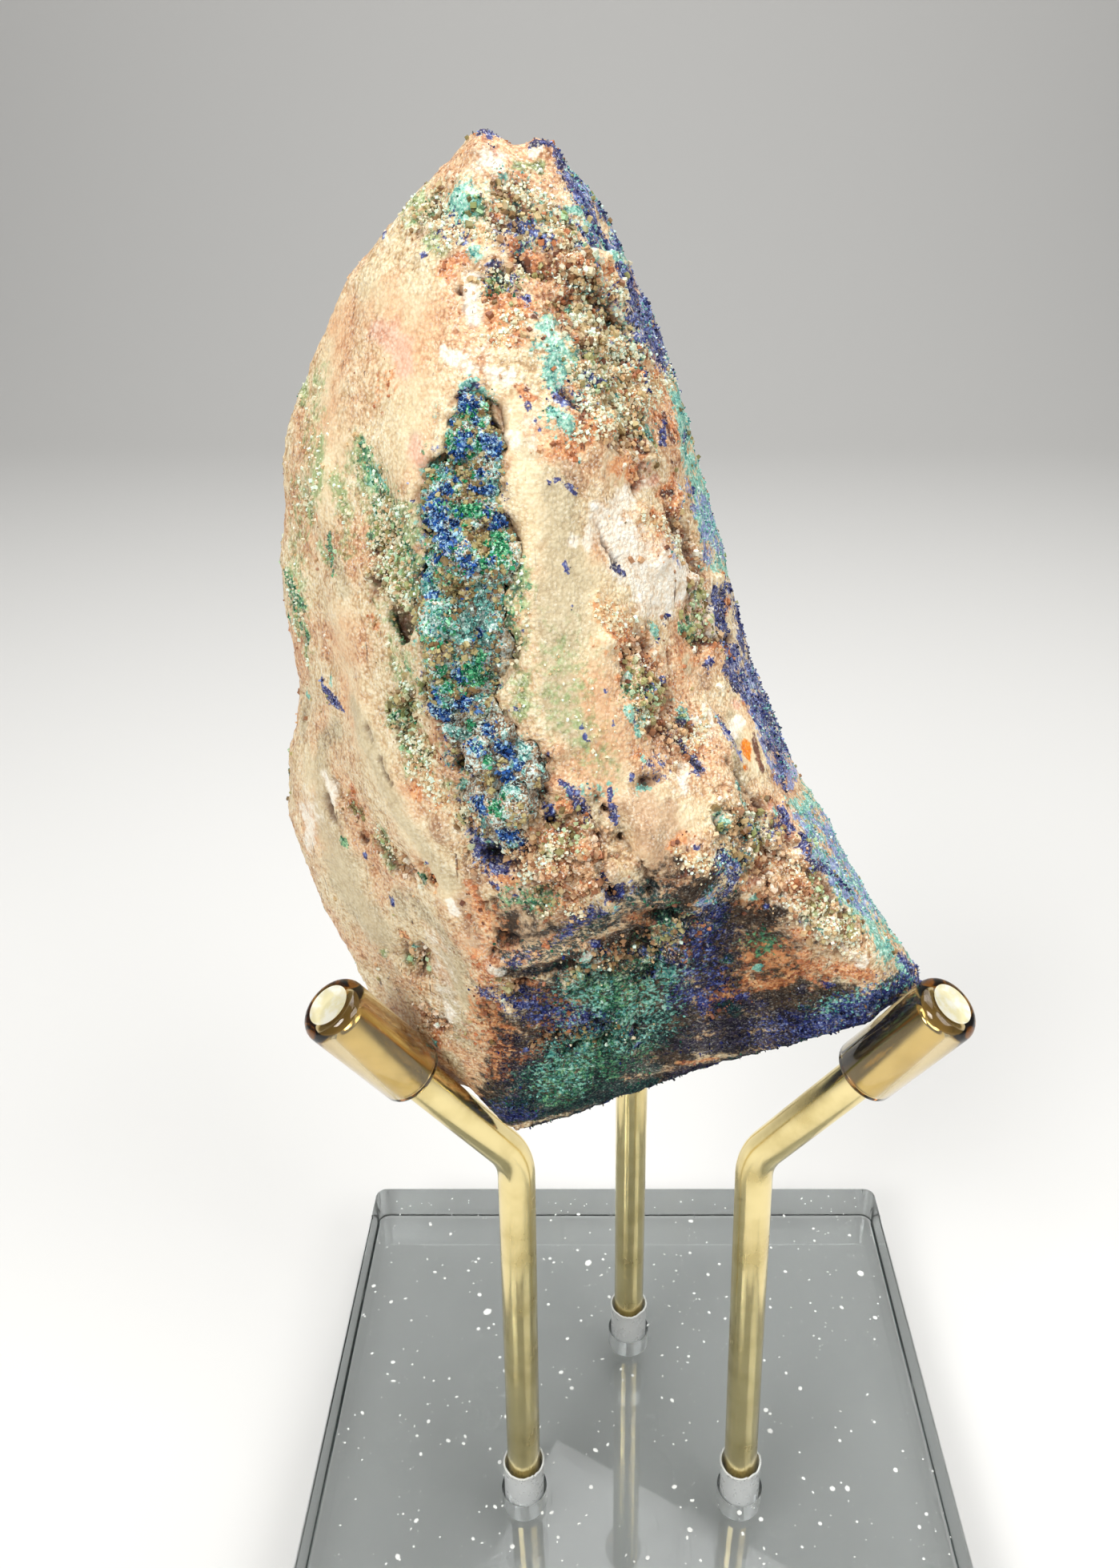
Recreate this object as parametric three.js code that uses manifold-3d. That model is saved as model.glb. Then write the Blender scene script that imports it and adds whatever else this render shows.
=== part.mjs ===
// A malachite and azurite specimen resting in a three-armed display stand.
// Millimetres, +Z up, X to the right, Y away from the viewer.
// The origin is the middle of the underside of the stand's base.

import * as THREE from 'three';
import { mergeVertices } from 'three/addons/utils/BufferGeometryUtils.js';
import Module from 'manifold-3d';

const wasm = await Module();
wasm.setup();

const degrees = (angle) => THREE.MathUtils.degToRad(angle);

// Clearance left between pieces that touch on the real object
const GAP = 0.3;

// Base: a thick square of clear acrylic with softened corners and polished edges
const BASE_SIDE = 88.9;
const BASE_THICKNESS = 12.7;
const BASE_CORNER = 1.8;
const BASE_EDGE = 0.4;
const BASE_CORNER_STEPS = 2;

// Rods: three equal bent brass rods on a circle, standing in blind holes
const STAND_AXIS_Y = -1.85;
const FOOT_CIRCLE = 17.2;
const ROD_RADIUS = 2.2;
const ROD_SIDES = 8;
const ROD_STEPS = 20;
const ROD_IN_BASE = 5;
const BEND_HEIGHT = 60.5;
const BEND_RADIUS = 9;
const ARM_ELEVATION = 55.7;
const ARM_LENGTH = 35.2;

// Sleeves: thin plastic tubes that line the holes and stand proud of the base
const SLEEVE_BORE = ROD_RADIUS + 0.25;
const SLEEVE_RADIUS = 2.7;
const SLEEVE_FLARE = 2.8;
const SLEEVE_STANDS = 5.6;
const SLEEVE_FLARE_STARTS = 3.9;
const SLEEVE_SIDES = 12;
const HOLE_RADIUS = SLEEVE_FLARE + GAP;
const HOLE_DEPTH = ROD_IN_BASE + GAP;

// Caps: clear vinyl caps with a rounded closed end, over the tip of each arm
const CAP_LENGTH = 14;
const CAP_RADIUS = 3.5;
const CAP_BORE = ROD_RADIUS + 0.28;
const CAP_ROUND = 1.3;
const CAP_END = 1.6;
const CAP_SIDES = 12;

// One arm each: which way it points, and how far it leans in toward the middle
const ARMS = [
  { side: 'left', azimuth: 210, lean: 0.76 },
  { side: 'right', azimuth: 330, lean: -1.23 },
  { side: 'back', azimuth: 90, lean: 0 },
];

// Rock: the lines of its main ridges, each with eight points from the lower
// edge up to the tip. The surface is drawn through them.
const RIDGES = {
  left: [
    [-21.4, -14, 83.7], [-31.2, -8, 99.6], [-37.9, -2, 110.7], [-35.3, 0, 127.5],
    [-35.3, 0, 142.7], [-31.5, 0, 160], [-23.7, 0, 170.8], [-15.3, 0, 177.4],
  ],
  frontLeft: [
    [-14.2, -13, 79.2], [-16.9, -19, 103], [-18.3, -22, 119.4], [-20.5, -22, 134.4],
    [-19.2, -20, 147.6], [-16.8, -16, 160.1], [-14.8, -9, 171.4], [-13.9, -3, 178.3],
  ],
  front: [
    [-2.5, -13, 83.9], [-4.6, -22, 109], [-6.3, -26, 121.4], [-8.9, -24, 134.5],
    [-10, -21, 147.9], [-10.6, -16, 160.1], [-11.9, -9, 171.4], [-12.2, -3, 177.5],
  ],
  frontRight: [
    [8.7, -13, 89.5], [6.2, -19, 106.8], [4.3, -23, 119.6], [0.7, -19, 132.3],
    [-1.5, -15, 146.2], [-4.2, -12, 159.5], [-8.1, -8, 171.1], [-10.6, -2, 177.2],
  ],
  rightFront: [
    [24.8, -17, 97.8], [18.8, -18, 111.7], [12.9, -14, 121.8], [7.8, -10, 132.4],
    [4.6, -7, 143.9], [0.7, -5, 158.5], [-5.2, -4, 170.9], [-9, -3, 178],
  ],
  right: [
    [30, -15.2, 99.9], [22.5, -10, 109.4], [16.5, -5, 118.9], [11, -2, 130.1],
    [7.1, 0, 142.3], [2.5, 0, 157.7], [-3.4, 0, 170.5], [-8.3, 0, 177.4],
  ],
  backRight: [
    [22, 4, 98], [19, 9, 108], [14, 12, 119], [8, 14, 132],
    [3, 13, 146], [-1, 10, 159], [-6, 6, 170], [-9.5, 3, 176.5],
  ],
  back: [
    [2, 25.3, 90.5], [-1, 26.4, 104], [-5, 25.5, 118], [-9.5, 23.5, 132],
    [-13, 19.5, 146], [-15, 14, 159], [-14.5, 8, 170], [-12, 3.5, 176],
  ],
  backLeft: [
    [-16, 10, 86], [-25, 14, 102], [-30, 16, 116], [-30, 16, 130],
    [-28.9, 14, 144], [-25.4, 10, 157], [-20, 6, 168], [-14, 3, 176],
  ],
};
const ROUNDING = 0.45;
const ROWS = 35;
const FRONT_STEPS = 7;
const BACK_STEPS = 3;
const FIRST_BACK_RIDGE = 5;
const UNDERSIDE_MIDDLE = [3, 1, 87.5];
const TOP_MIDDLE = [-11.6, 0.2, 176.8];

// Ledges: broken edges on the front, as [x, z] paths. The stone rises by
// `rise` on the left of the walking direction and fades out over `fade`.
const LEDGES = [
  { path: [[-15.4, 168], [-14.9, 165], [-13.4, 161]], rise: 0.9, fade: 3 },
  { path: [[-9.5, 169], [-3.6, 164.6], [0.9, 158.5]], rise: 1.3, fade: 4.5 },
  { path: [[-9, 157.5], [-5.5, 154.4], [-0.8, 153.2], [3.5, 152.5]], rise: 1, fade: 5 },
  { path: [[-1, 152], [0, 145.5], [3.7, 139.5], [7.2, 131]], rise: 0.7, fade: 5 },
  { path: [[8.9, 121], [7.2, 126], [6, 131]], rise: 1.6, fade: 4 },
  { path: [[-1.9, 127.8], [-0.9, 122.5], [3.4, 116.3]], rise: 2.2, fade: 6.5 },
  { path: [[5.7, 124.8], [11.5, 118], [18.5, 112.2]], rise: 1.2, fade: 3.5 },
];

// Ridges and valleys along [x, z] paths on the front, in the height of their
// crest and their half width
const FOLDS = [
  { path: [[-29.1, 151], [-27.7, 141], [-25.4, 131.5], [-22, 124.5], [-18, 115.5], [-15.7, 108]],
    height: 1, width: 2.2 },
  { path: [[-23, 151], [-21.6, 141.5], [-21.4, 133], [-19.5, 126]], height: -1, width: 2.4 },
  { path: [[-30.8, 148], [-29.3, 143], [-28.3, 133]], height: -0.8, width: 1.4 },
  { path: [[-14.2, 108.5], [-5, 118], [4.4, 119], [11.6, 114.5], [23, 106]], height: 0.9, width: 2.6 },
  { path: [[-8.9, 152], [-6.4, 142], [-4, 132]], height: 0.8, width: 3.2 },
];

// Pits: open hollows on the front, by [x, z], width, height and depth
const PITS = [
  { at: [-20.9, 141.8], size: [3.4, 4.4, 4.2] },
  { at: [-23.6, 144.6], size: [1.6, 2.4, 2] },
  { at: [-21.7, 133.6], size: [2.4, 3, 2.4] },
  { at: [-29.3, 144.2], size: [1.2, 4.2, 1.6] },
  { at: [-29.9, 121.3], size: [1.8, 3.6, 2.4] },
  { at: [-27.1, 117.6], size: [2, 2.4, 1.8] },
  { at: [-26.5, 113.8], size: [2.2, 2, 1.6] },
  { at: [-20.2, 117.8], size: [2, 3.8, 2.6] },
  { at: [-24.6, 111.4], size: [1.2, 1.6, 1.4] },
  { at: [-21.8, 106.2], size: [1.8, 2.6, 1.8] },
  { at: [-6.4, 126.4], size: [2.4, 1.8, 2] },
  { at: [10.7, 121.4], size: [3, 3.4, 2.6] },
  { at: [3, 128.2], size: [2.2, 1.8, 1.8] },
  { at: [-0.6, 133.4], size: [1.6, 3, 1.8] },
];

// How deep a planted shape sits, as a part of its radius, and the blocks of
// vein stone: their width for their radius, and the least and most of one side
const SUNK = 0.4;
const BLOCK = 1.35;
const BLOCK_SQUAT = 0.7;
const BLOCK_TALL = 1.2;

// The granular ground under the pocket: lumps strewn in an ellipse
const LUMP_FIELD = { middle: [-9, 121.5], half: [10.5, 9], count: 26, least: 1, most: 2 };

// Single lumps and the two humps of the tip, by [x, z] and radius
const LUMPS = [
  { at: [-5, 109.6], radius: 2.1 },
  { at: [-4, 111.2], radius: 1.4 },
  { at: [-15.8, 106], radius: 1.7 },
  { at: [-14.1, 108], radius: 1.3 },
  { at: [-8.6, 121.4], radius: 1.9 },
  { at: [-30.2, 160.2], radius: 1 },
  { at: [-14.4, 176.6], radius: 1.6 },
  { at: [-9.2, 176.4], radius: 1.5 },
];

// Pocket of crystals down the middle of the front, by [x, z] and half width
const POCKET = [
  [-14.3, 156, 1.7], [-15.3, 152, 2.9], [-14.9, 148, 3.4], [-15.7, 144, 3.5],
  [-15.1, 140.5, 3.4], [-16, 137, 2.9], [-14.6, 133, 2.6], [-12.5, 130, 3.4],
  [-13.2, 126, 2.6],
];
const POCKET_DEPTH = 3.2;
const POCKET_MOUTH = 9;
const POCKET_STEP = 7;
const CRYSTAL_COUNT = 34;
const CRYSTAL_LEAST = 1;
const CRYSTAL_MOST = 1.8;
const CRYSTAL_SPREAD = 0.85;
const CRYSTAL_SLIM = 0.8;
const CRYSTAL_STRETCH = 0.4;
const CRUST_RECESS = 0.6;
const NODULES = [
  { at: [-17.2, 139.8], radius: 1.35 },
  { at: [-15.4, 140.6], radius: 1.1 },
  { at: [-16.4, 142.6], radius: 1.7 },
];

// Fracture faces: the large ones that the back and sides broke along, and
// many small chips off the rounded form
const BREAKS = [
  { facing: [0.62, 0.75, 0.22], depth: 3 },
  { facing: [0.1, 0.95, 0.26], depth: 1.8 },
  { facing: [-0.5, 0.85, 0.12], depth: 2 },
];
const CHIP_COUNT = 70;
const CHIP_LEAST = 0.2;
const CHIP_MOST = 1;
const TIP_SPARED = 0.8;

// The uneven grain of the break, and the swell that makes up for the flats
const GRAINS = [{ size: 7, height: 0.55 }, { size: 3.4, height: 0.4 }];
const SWELL = 0.25;

// Faces that depart from flat by less than this are joined
const SIMPLIFY = 0.11;

const material = (color, roughness, metalness) =>
  new THREE.MeshStandardMaterial({ color, roughness, metalness });

// A manifold solid from a closed three.js geometry
function solid(geometry) {
  const bare = geometry.clone();
  bare.deleteAttribute('normal');
  bare.deleteAttribute('uv');
  const merged = mergeVertices(bare, 1e-4);
  const vertProperties = new Float32Array(merged.attributes.position.array);
  const triVerts = new Uint32Array(merged.index.array);
  return new wasm.Manifold(new wasm.Mesh({ numProp: 3, vertProperties, triVerts }));
}

// A three.js geometry with flat faces from a manifold solid
function geometryOf(body) {
  const mesh = body.getMesh();
  const geometry = new THREE.BufferGeometry();
  geometry.setAttribute('position', new THREE.BufferAttribute(mesh.vertProperties, 3));
  geometry.setIndex(new THREE.BufferAttribute(mesh.triVerts, 1));
  const flat = geometry.toNonIndexed();
  flat.computeVertexNormals();
  return flat;
}

// A solid of revolution standing along +Z, from [radius, height] points
function turned(profile, sides) {
  const points = profile.map(([radius, height]) => new THREE.Vector2(radius, height));
  return new THREE.LatheGeometry(points, sides).rotateX(Math.PI / 2);
}

function named(name, geometry, look) {
  const mesh = new THREE.Mesh(geometry, look);
  mesh.name = name;
  return mesh;
}

const object = new THREE.Group();

// Base

const footPlace = (azimuth) => new THREE.Vector3(
  FOOT_CIRCLE * Math.cos(degrees(azimuth)),
  STAND_AXIS_Y + FOOT_CIRCLE * Math.sin(degrees(azimuth)),
  BASE_THICKNESS,
);

function roundedSquare(side, corner) {
  const half = side / 2;
  const inner = half - corner;
  const shape = new THREE.Shape();
  shape.moveTo(half, -inner);
  shape.absarc(inner, inner, corner, 0, Math.PI / 2);
  shape.absarc(-inner, inner, corner, Math.PI / 2, Math.PI);
  shape.absarc(-inner, -inner, corner, Math.PI, Math.PI * 1.5);
  shape.absarc(inner, -inner, corner, Math.PI * 1.5, Math.PI * 2);
  return shape;
}

function baseGeometry() {
  const slab = new THREE.ExtrudeGeometry(roundedSquare(BASE_SIDE - 2 * BASE_EDGE, BASE_CORNER), {
    depth: BASE_THICKNESS - 2 * BASE_EDGE,
    bevelThickness: BASE_EDGE,
    bevelSize: BASE_EDGE,
    bevelSegments: 1,
    curveSegments: BASE_CORNER_STEPS,
  });
  slab.translate(0, 0, BASE_EDGE);
  let body = solid(slab);
  for (const arm of ARMS) {
    const hole = new THREE.CylinderGeometry(HOLE_RADIUS, HOLE_RADIUS, 2 * HOLE_DEPTH, SLEEVE_SIDES);
    hole.rotateX(Math.PI / 2);
    const foot = footPlace(arm.azimuth);
    hole.translate(foot.x, foot.y, foot.z);
    body = body.subtract(solid(hole));
  }
  return geometryOf(body);
}

object.add(named('base', baseGeometry(), material(0xaab2b4, 0.05, 0)));

// Arms: in an arm's own frame the foot is at the origin, the rod rises along
// +Z and the arm bends over toward +X

function rodGeometry(radius) {
  const elevation = degrees(ARM_ELEVATION);
  const tangent = BEND_RADIUS * Math.tan((Math.PI / 2 - elevation) / 2);
  const corner = new THREE.Vector3(0, 0, BEND_HEIGHT);
  const direction = new THREE.Vector3(Math.cos(elevation), 0, Math.sin(elevation));
  const bendStart = new THREE.Vector3(0, 0, BEND_HEIGHT - tangent);
  const bendEnd = corner.clone().addScaledVector(direction, tangent);
  const tip = corner.clone().addScaledVector(direction, ARM_LENGTH - CAP_END - GAP);
  const path = new THREE.CurvePath();
  path.add(new THREE.LineCurve3(new THREE.Vector3(0, 0, -ROD_IN_BASE), bendStart));
  path.add(new THREE.QuadraticBezierCurve3(bendStart, corner, bendEnd));
  path.add(new THREE.LineCurve3(bendEnd, tip));
  const section = new THREE.Shape().absarc(0, 0, radius, 0, Math.PI * 2);
  return new THREE.ExtrudeGeometry(section, {
    steps: ROD_STEPS,
    curveSegments: ROD_SIDES / 2,
    extrudePath: path,
  });
}

function capGeometry() {
  const rim = CAP_RADIUS - CAP_ROUND;
  const round = [0, 30, 60, 90].map((angle) => [
    rim + CAP_ROUND * Math.cos(degrees(angle)),
    CAP_LENGTH - CAP_ROUND + CAP_ROUND * Math.sin(degrees(angle)),
  ]);
  const inside = CAP_LENGTH - CAP_END;
  return turned([
    [0, inside], [CAP_BORE, inside], [CAP_BORE, 0], [CAP_RADIUS, 0], ...round, [0, CAP_LENGTH],
  ], CAP_SIDES);
}

function sleeveGeometry() {
  return turned([
    [SLEEVE_BORE, -ROD_IN_BASE],
    [SLEEVE_RADIUS, -ROD_IN_BASE],
    [SLEEVE_RADIUS, SLEEVE_FLARE_STARTS],
    [SLEEVE_FLARE, SLEEVE_STANDS],
    [SLEEVE_BORE, SLEEVE_STANDS],
    [SLEEVE_BORE, -ROD_IN_BASE],
  ], SLEEVE_SIDES);
}

const brass = material(0xb39a58, 0.28, 1);
const vinyl = material(0xd8c88e, 0.2, 0);
const sleevePlastic = material(0xd9d9d4, 0.45, 0);

// Turns and moves an arm's own frame to its place on the base
function armFrame(arm) {
  const frame = new THREE.Group();
  frame.position.copy(footPlace(arm.azimuth));
  frame.rotation.set(0, degrees(arm.lean), degrees(arm.azimuth), 'YZX');
  return frame;
}

for (const arm of ARMS) {
  const frame = armFrame(arm);
  frame.add(named(`rod_${arm.side}`, rodGeometry(ROD_RADIUS), brass));
  frame.add(named(`sleeve_${arm.side}`, sleeveGeometry(), sleevePlastic));
  const cap = named(`cap_${arm.side}`, capGeometry(), vinyl);
  const elevation = degrees(ARM_ELEVATION);
  const start = ARM_LENGTH - CAP_LENGTH;
  cap.position.set(start * Math.cos(elevation), 0, BEND_HEIGHT + start * Math.sin(elevation));
  cap.rotation.y = Math.PI / 2 - elevation;
  frame.add(cap);
  object.add(frame);
}

// Rock

// Repeatable random numbers between 0 and 1
function randomFrom(seed) {
  let state = seed;
  return () => {
    state = (state * 1664525 + 1013904223) % 4294967296;
    return state / 4294967296;
  };
}

// Smooth noise between -1 and 1 on a lattice of unit cells
function noise(x, y, z) {
  const corner = (i, j, k) => {
    const wave = Math.sin(i * 127.1 + j * 311.7 + k * 74.7) * 43758.5453;
    return 2 * (wave - Math.floor(wave)) - 1;
  };
  const cell = [x, y, z].map(Math.floor);
  const [u, v, w] = [x, y, z].map((value, axis) => {
    const part = value - cell[axis];
    return part * part * (3 - 2 * part);
  });
  const { lerp } = THREE.MathUtils;
  const row = (j, k) => lerp(
    corner(cell[0], cell[1] + j, cell[2] + k),
    corner(cell[0] + 1, cell[1] + j, cell[2] + k),
    u,
  );
  return lerp(lerp(row(0, 0), row(1, 0), v), lerp(row(0, 1), row(1, 1), v), w);
}

// Distance from a point to a path, negative on its right, and the part walked
function besidePath(path, x, z) {
  let best = { distance: Infinity, walked: 0 };
  for (let leg = 0; leg < path.length - 1; leg += 1) {
    const [x0, z0] = path[leg];
    const [dx, dz] = [path[leg + 1][0] - x0, path[leg + 1][1] - z0];
    const along = ((x - x0) * dx + (z - z0) * dz) / (dx * dx + dz * dz);
    const part = THREE.MathUtils.clamp(along, 0, 1);
    const [offX, offZ] = [x - x0 - part * dx, z - z0 - part * dz];
    const distance = Math.hypot(offX, offZ);
    if (distance < Math.abs(best.distance)) {
      const side = Math.sign(dx * offZ - dz * offX) || 1;
      best = { distance: side * distance, walked: (leg + part) / (path.length - 1) };
    }
  }
  return best;
}

function frontRelief(x, z) {
  let height = 0;
  for (const ledge of LEDGES) {
    const { distance, walked } = besidePath(ledge.path, x, z);
    if (distance > 0 && distance < ledge.fade) {
      height += ledge.rise * (1 - distance / ledge.fade) * Math.sin(Math.PI * walked) ** 0.5;
    }
  }
  for (const fold of FOLDS) {
    const { distance } = besidePath(fold.path, x, z);
    height += fold.height * Math.exp(-((distance / fold.width) ** 2));
  }
  return height;
}

function rockSurface() {
  const curves = Object.values(RIDGES).map((points) => {
    const path = points.map((point) => new THREE.Vector3(...point));
    return new THREE.CatmullRomCurve3(path, false, 'centripetal');
  });
  const positions = [];
  let columns = 0;
  for (let row = 0; row <= ROWS; row += 1) {
    const corners = curves.map((curve) => curve.getPoint(row / ROWS));
    const loop = new THREE.CatmullRomCurve3(corners, true, 'centripetal');
    columns = 0;
    corners.forEach((corner, ridge) => {
      const steps = ridge < FIRST_BACK_RIDGE ? FRONT_STEPS : BACK_STEPS;
      const next = corners[(ridge + 1) % corners.length];
      for (let step = 0; step < steps; step += 1) {
        const part = step / steps;
        const point = corner.clone().lerp(next, part);
        point.lerp(loop.getPoint((ridge + part) / corners.length), ROUNDING);
        positions.push(point.x, point.y, point.z);
        columns += 1;
      }
    });
  }
  const index = [];
  for (let row = 0; row < ROWS; row += 1) {
    for (let column = 0; column < columns; column += 1) {
      const here = row * columns + column;
      const beside = row * columns + ((column + 1) % columns);
      index.push(here, beside, here + columns, beside, beside + columns, here + columns);
    }
  }
  const closeEnd = (row, middle, outward) => {
    const centre = positions.length / 3;
    positions.push(...middle);
    for (let column = 0; column < columns; column += 1) {
      const here = row * columns + column;
      const beside = row * columns + ((column + 1) % columns);
      index.push(centre, ...(outward ? [here, beside] : [beside, here]));
    }
  };
  closeEnd(0, UNDERSIDE_MIDDLE, false);
  closeEnd(ROWS, TOP_MIDDLE, true);
  const geometry = new THREE.BufferGeometry();
  geometry.setAttribute('position', new THREE.Float32BufferAttribute(positions, 3));
  geometry.setIndex(index);
  geometry.computeVertexNormals();
  return geometry;
}

function breakSurface(geometry) {
  const { position, normal } = geometry.attributes;
  const points = [];
  for (let index = 0; index < position.count; index += 1) {
    const point = new THREE.Vector3().fromBufferAttribute(position, index);
    const outward = new THREE.Vector3().fromBufferAttribute(normal, index);
    let height = SWELL;
    if (outward.y < 0) height += frontRelief(point.x, point.z) * Math.min(1, -2 * outward.y);
    for (const grain of GRAINS) {
      const [x, y, z] = point.toArray().map((value) => value / grain.size);
      height += grain.height * noise(x, y, z);
    }
    points.push(point.addScaledVector(outward, height));
  }
  const whole = points.map((point) => point.clone());
  const flatten = (direction, depth) => {
    const limit = Math.max(...whole.map((point) => point.dot(direction))) - depth;
    for (const point of points) {
      const proud = point.dot(direction) - limit;
      if (proud > 0) point.addScaledVector(direction, -proud);
    }
  };
  for (const { facing, depth } of BREAKS) flatten(new THREE.Vector3(...facing).normalize(), depth);
  const random = randomFrom(CHIP_COUNT);
  for (let chip = 0; chip < CHIP_COUNT; chip += 1) {
    const direction = new THREE.Vector3().setFromSphericalCoords(
      1,
      Math.acos(2 * random() - 1),
      2 * Math.PI * random(),
    );
    const depth = THREE.MathUtils.lerp(CHIP_LEAST, CHIP_MOST, random());
    if (direction.z < TIP_SPARED) flatten(direction, depth);
  }
  points.forEach((point, index) => position.setXYZ(index, point.x, point.y, point.z));
  geometry.computeVertexNormals();
  return geometry;
}

// The place on the front surface straight behind [x, z]
function frontPlace(surface, x, z) {
  const ray = new THREE.Raycaster(new THREE.Vector3(x, -BASE_SIDE, z), new THREE.Vector3(0, 1, 0));
  const [hit] = ray.intersectObject(surface);
  return hit ? { point: hit.point, outward: hit.face.normal.clone() } : null;
}

// A hollow around a place, by width, height and depth, with a mouth that
// reaches out past the surface
function hollow(place, size, mouth, detail) {
  const [width, height, depth] = size;
  const blob = new THREE.IcosahedronGeometry(1, detail);
  const { position } = blob.attributes;
  for (let index = 0; index < position.count; index += 1) {
    const outward = position.getZ(index);
    position.setXYZ(
      index,
      position.getX(index) * (width / 2),
      position.getY(index) * (height / 2),
      outward * (outward > 0 ? mouth : depth),
    );
  }
  const turn = new THREE.Quaternion().setFromUnitVectors(new THREE.Vector3(0, 0, 1), place.outward);
  const frame = new THREE.Matrix4().compose(place.point, turn, new THREE.Vector3(1, 1, 1));
  return blob.applyMatrix4(frame);
}

// A small shape turned at random and sunk into the surface
function planted(shape, place, radius, random) {
  shape.rotateX(Math.PI * random());
  shape.rotateZ(Math.PI * random());
  const middle = place.point.clone().addScaledVector(place.outward, -radius * SUNK);
  return solid(shape.translate(middle.x, middle.y, middle.z));
}

// A block of broken vein stone
function lump(place, radius, random) {
  const side = radius * BLOCK;
  const tall = side * THREE.MathUtils.lerp(BLOCK_SQUAT, BLOCK_TALL, random());
  const block = new THREE.BoxGeometry(side, tall, side);
  return planted(block, place, radius, random);
}

// A crystal with eight faces, longer than it is wide
function crystal(place, radius, random) {
  const shape = new THREE.OctahedronGeometry(radius);
  shape.scale(CRYSTAL_SLIM, CRYSTAL_SLIM, 1 + CRYSTAL_STRETCH * random());
  return planted(shape, place, radius, random);
}

const joined = (parts) => parts.reduce((whole, part) => whole.add(part));

// Near-flat faces joined, and only the largest connected piece kept, without
// the slivers and pinholes that a cut can leave
function refined(body) {
  const pieces = body.simplify(SIMPLIFY).decompose();
  return pieces.reduce((best, piece) => (piece.volume() > best.volume() ? piece : best));
}

function lumpField(surface) {
  const { middle, half, count, least, most } = LUMP_FIELD;
  const random = randomFrom(count);
  const lumps = [];
  while (lumps.length < count) {
    const angle = 2 * Math.PI * random();
    const reach = Math.sqrt(random());
    const x = middle[0] + half[0] * reach * Math.cos(angle);
    const z = middle[1] + half[1] * reach * Math.sin(angle);
    lumps.push(lump(frontPlace(surface, x, z), THREE.MathUtils.lerp(least, most, random()), random));
  }
  return lumps;
}

// The hollow of the pocket, as a chain of hollows, grown by a clearance
function pocketHollow(surface, clearance) {
  return joined(POCKET.map(([x, z, half]) => {
    const place = frontPlace(surface, x, z);
    const size = [2 * (half + clearance), POCKET_STEP + 2 * clearance, POCKET_DEPTH + clearance];
    return solid(hollow(place, size, POCKET_MOUTH, 1));
  }));
}

// Everything an arm fills, with a clearance around it
function armRoom(arm) {
  const frame = armFrame(arm);
  frame.updateMatrixWorld();
  const cap = new THREE.CylinderGeometry(
    CAP_RADIUS + GAP,
    CAP_RADIUS + GAP,
    CAP_LENGTH + 2 * GAP,
    2 * CAP_SIDES,
  );
  const elevation = degrees(ARM_ELEVATION);
  const middle = ARM_LENGTH - CAP_LENGTH / 2;
  cap.rotateZ(elevation - Math.PI / 2);
  cap.rotateX(Math.PI / 2);
  cap.translate(middle * Math.cos(elevation), 0, BEND_HEIGHT + middle * Math.sin(elevation));
  const rod = rodGeometry(ROD_RADIUS + GAP);
  return joined([rod, cap].map((geometry) => solid(geometry.applyMatrix4(frame.matrixWorld))));
}

const surface = new THREE.Mesh(breakSurface(rockSurface()));

const singleLumps = LUMPS.map(({ at, radius }, index) =>
  lump(frontPlace(surface, ...at), radius, randomFrom(index + 1)));
const pits = PITS.map(({ at, size }) => {
  const [, , depth] = size;
  return solid(hollow(frontPlace(surface, ...at), size, depth, 0));
});
const arms = joined(ARMS.map(armRoom));
const stone = joined([solid(surface.geometry), ...lumpField(surface), ...singleLumps])
  .subtract(joined(pits));
const matrix = refined(stone.subtract(pocketHollow(surface, GAP)).subtract(arms));

function pocketCrust() {
  const random = randomFrom(CRYSTAL_COUNT);
  const path = new THREE.CatmullRomCurve3(POCKET.map((point) => new THREE.Vector3(...point)));
  const floor = stone.translate([0, CRUST_RECESS, 0]).intersect(pocketHollow(surface, 0));
  const crystals = [];
  while (crystals.length < CRYSTAL_COUNT) {
    const [x, z, half] = path.getPoint(random()).toArray();
    const place = frontPlace(surface, x + half * CRYSTAL_SPREAD * (2 * random() - 1), z);
    const radius = THREE.MathUtils.lerp(CRYSTAL_LEAST, CRYSTAL_MOST, random());
    crystals.push(crystal(place, radius, random));
  }
  const nodules = NODULES.map((nodule) => {
    const { point } = frontPlace(surface, ...nodule.at);
    const ball = new THREE.IcosahedronGeometry(nodule.radius, 1);
    return solid(ball.translate(point.x, point.y, point.z));
  });
  const crust = joined([floor, ...crystals, ...nodules]).intersect(pocketHollow(surface, 0));
  return refined(crust);
}

object.add(named('rock', geometryOf(matrix), material(0xc9a888, 0.75, 0)));
object.add(named('pocket_crust', geometryOf(pocketCrust()), material(0x1f6f8a, 0.55, 0)));

export default object;
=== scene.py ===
# %% [markdown]
# # Malachite and azurite on a three-arm stand
#
# The object is an upright piece of vein stone. Copper minerals cover parts of it: blue azurite and
# green malachite grew as thin coats, as loose dustings and as a crust of small crystals in a long
# hollow down the front. The stone rests on three bent brass rods with clear vinyl caps, and the
# rods stand in a square slab of clear acrylic.
#
# The solids of the part come in first, as a fixed frame. Each Blender piece is then built over the
# solid that it stands for, in the same place and at the same size.

import math

import bmesh
import bpy
import numpy as np
from mathutils import Matrix, Vector, noise
from mathutils.bvhtree import BVHTree


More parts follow.
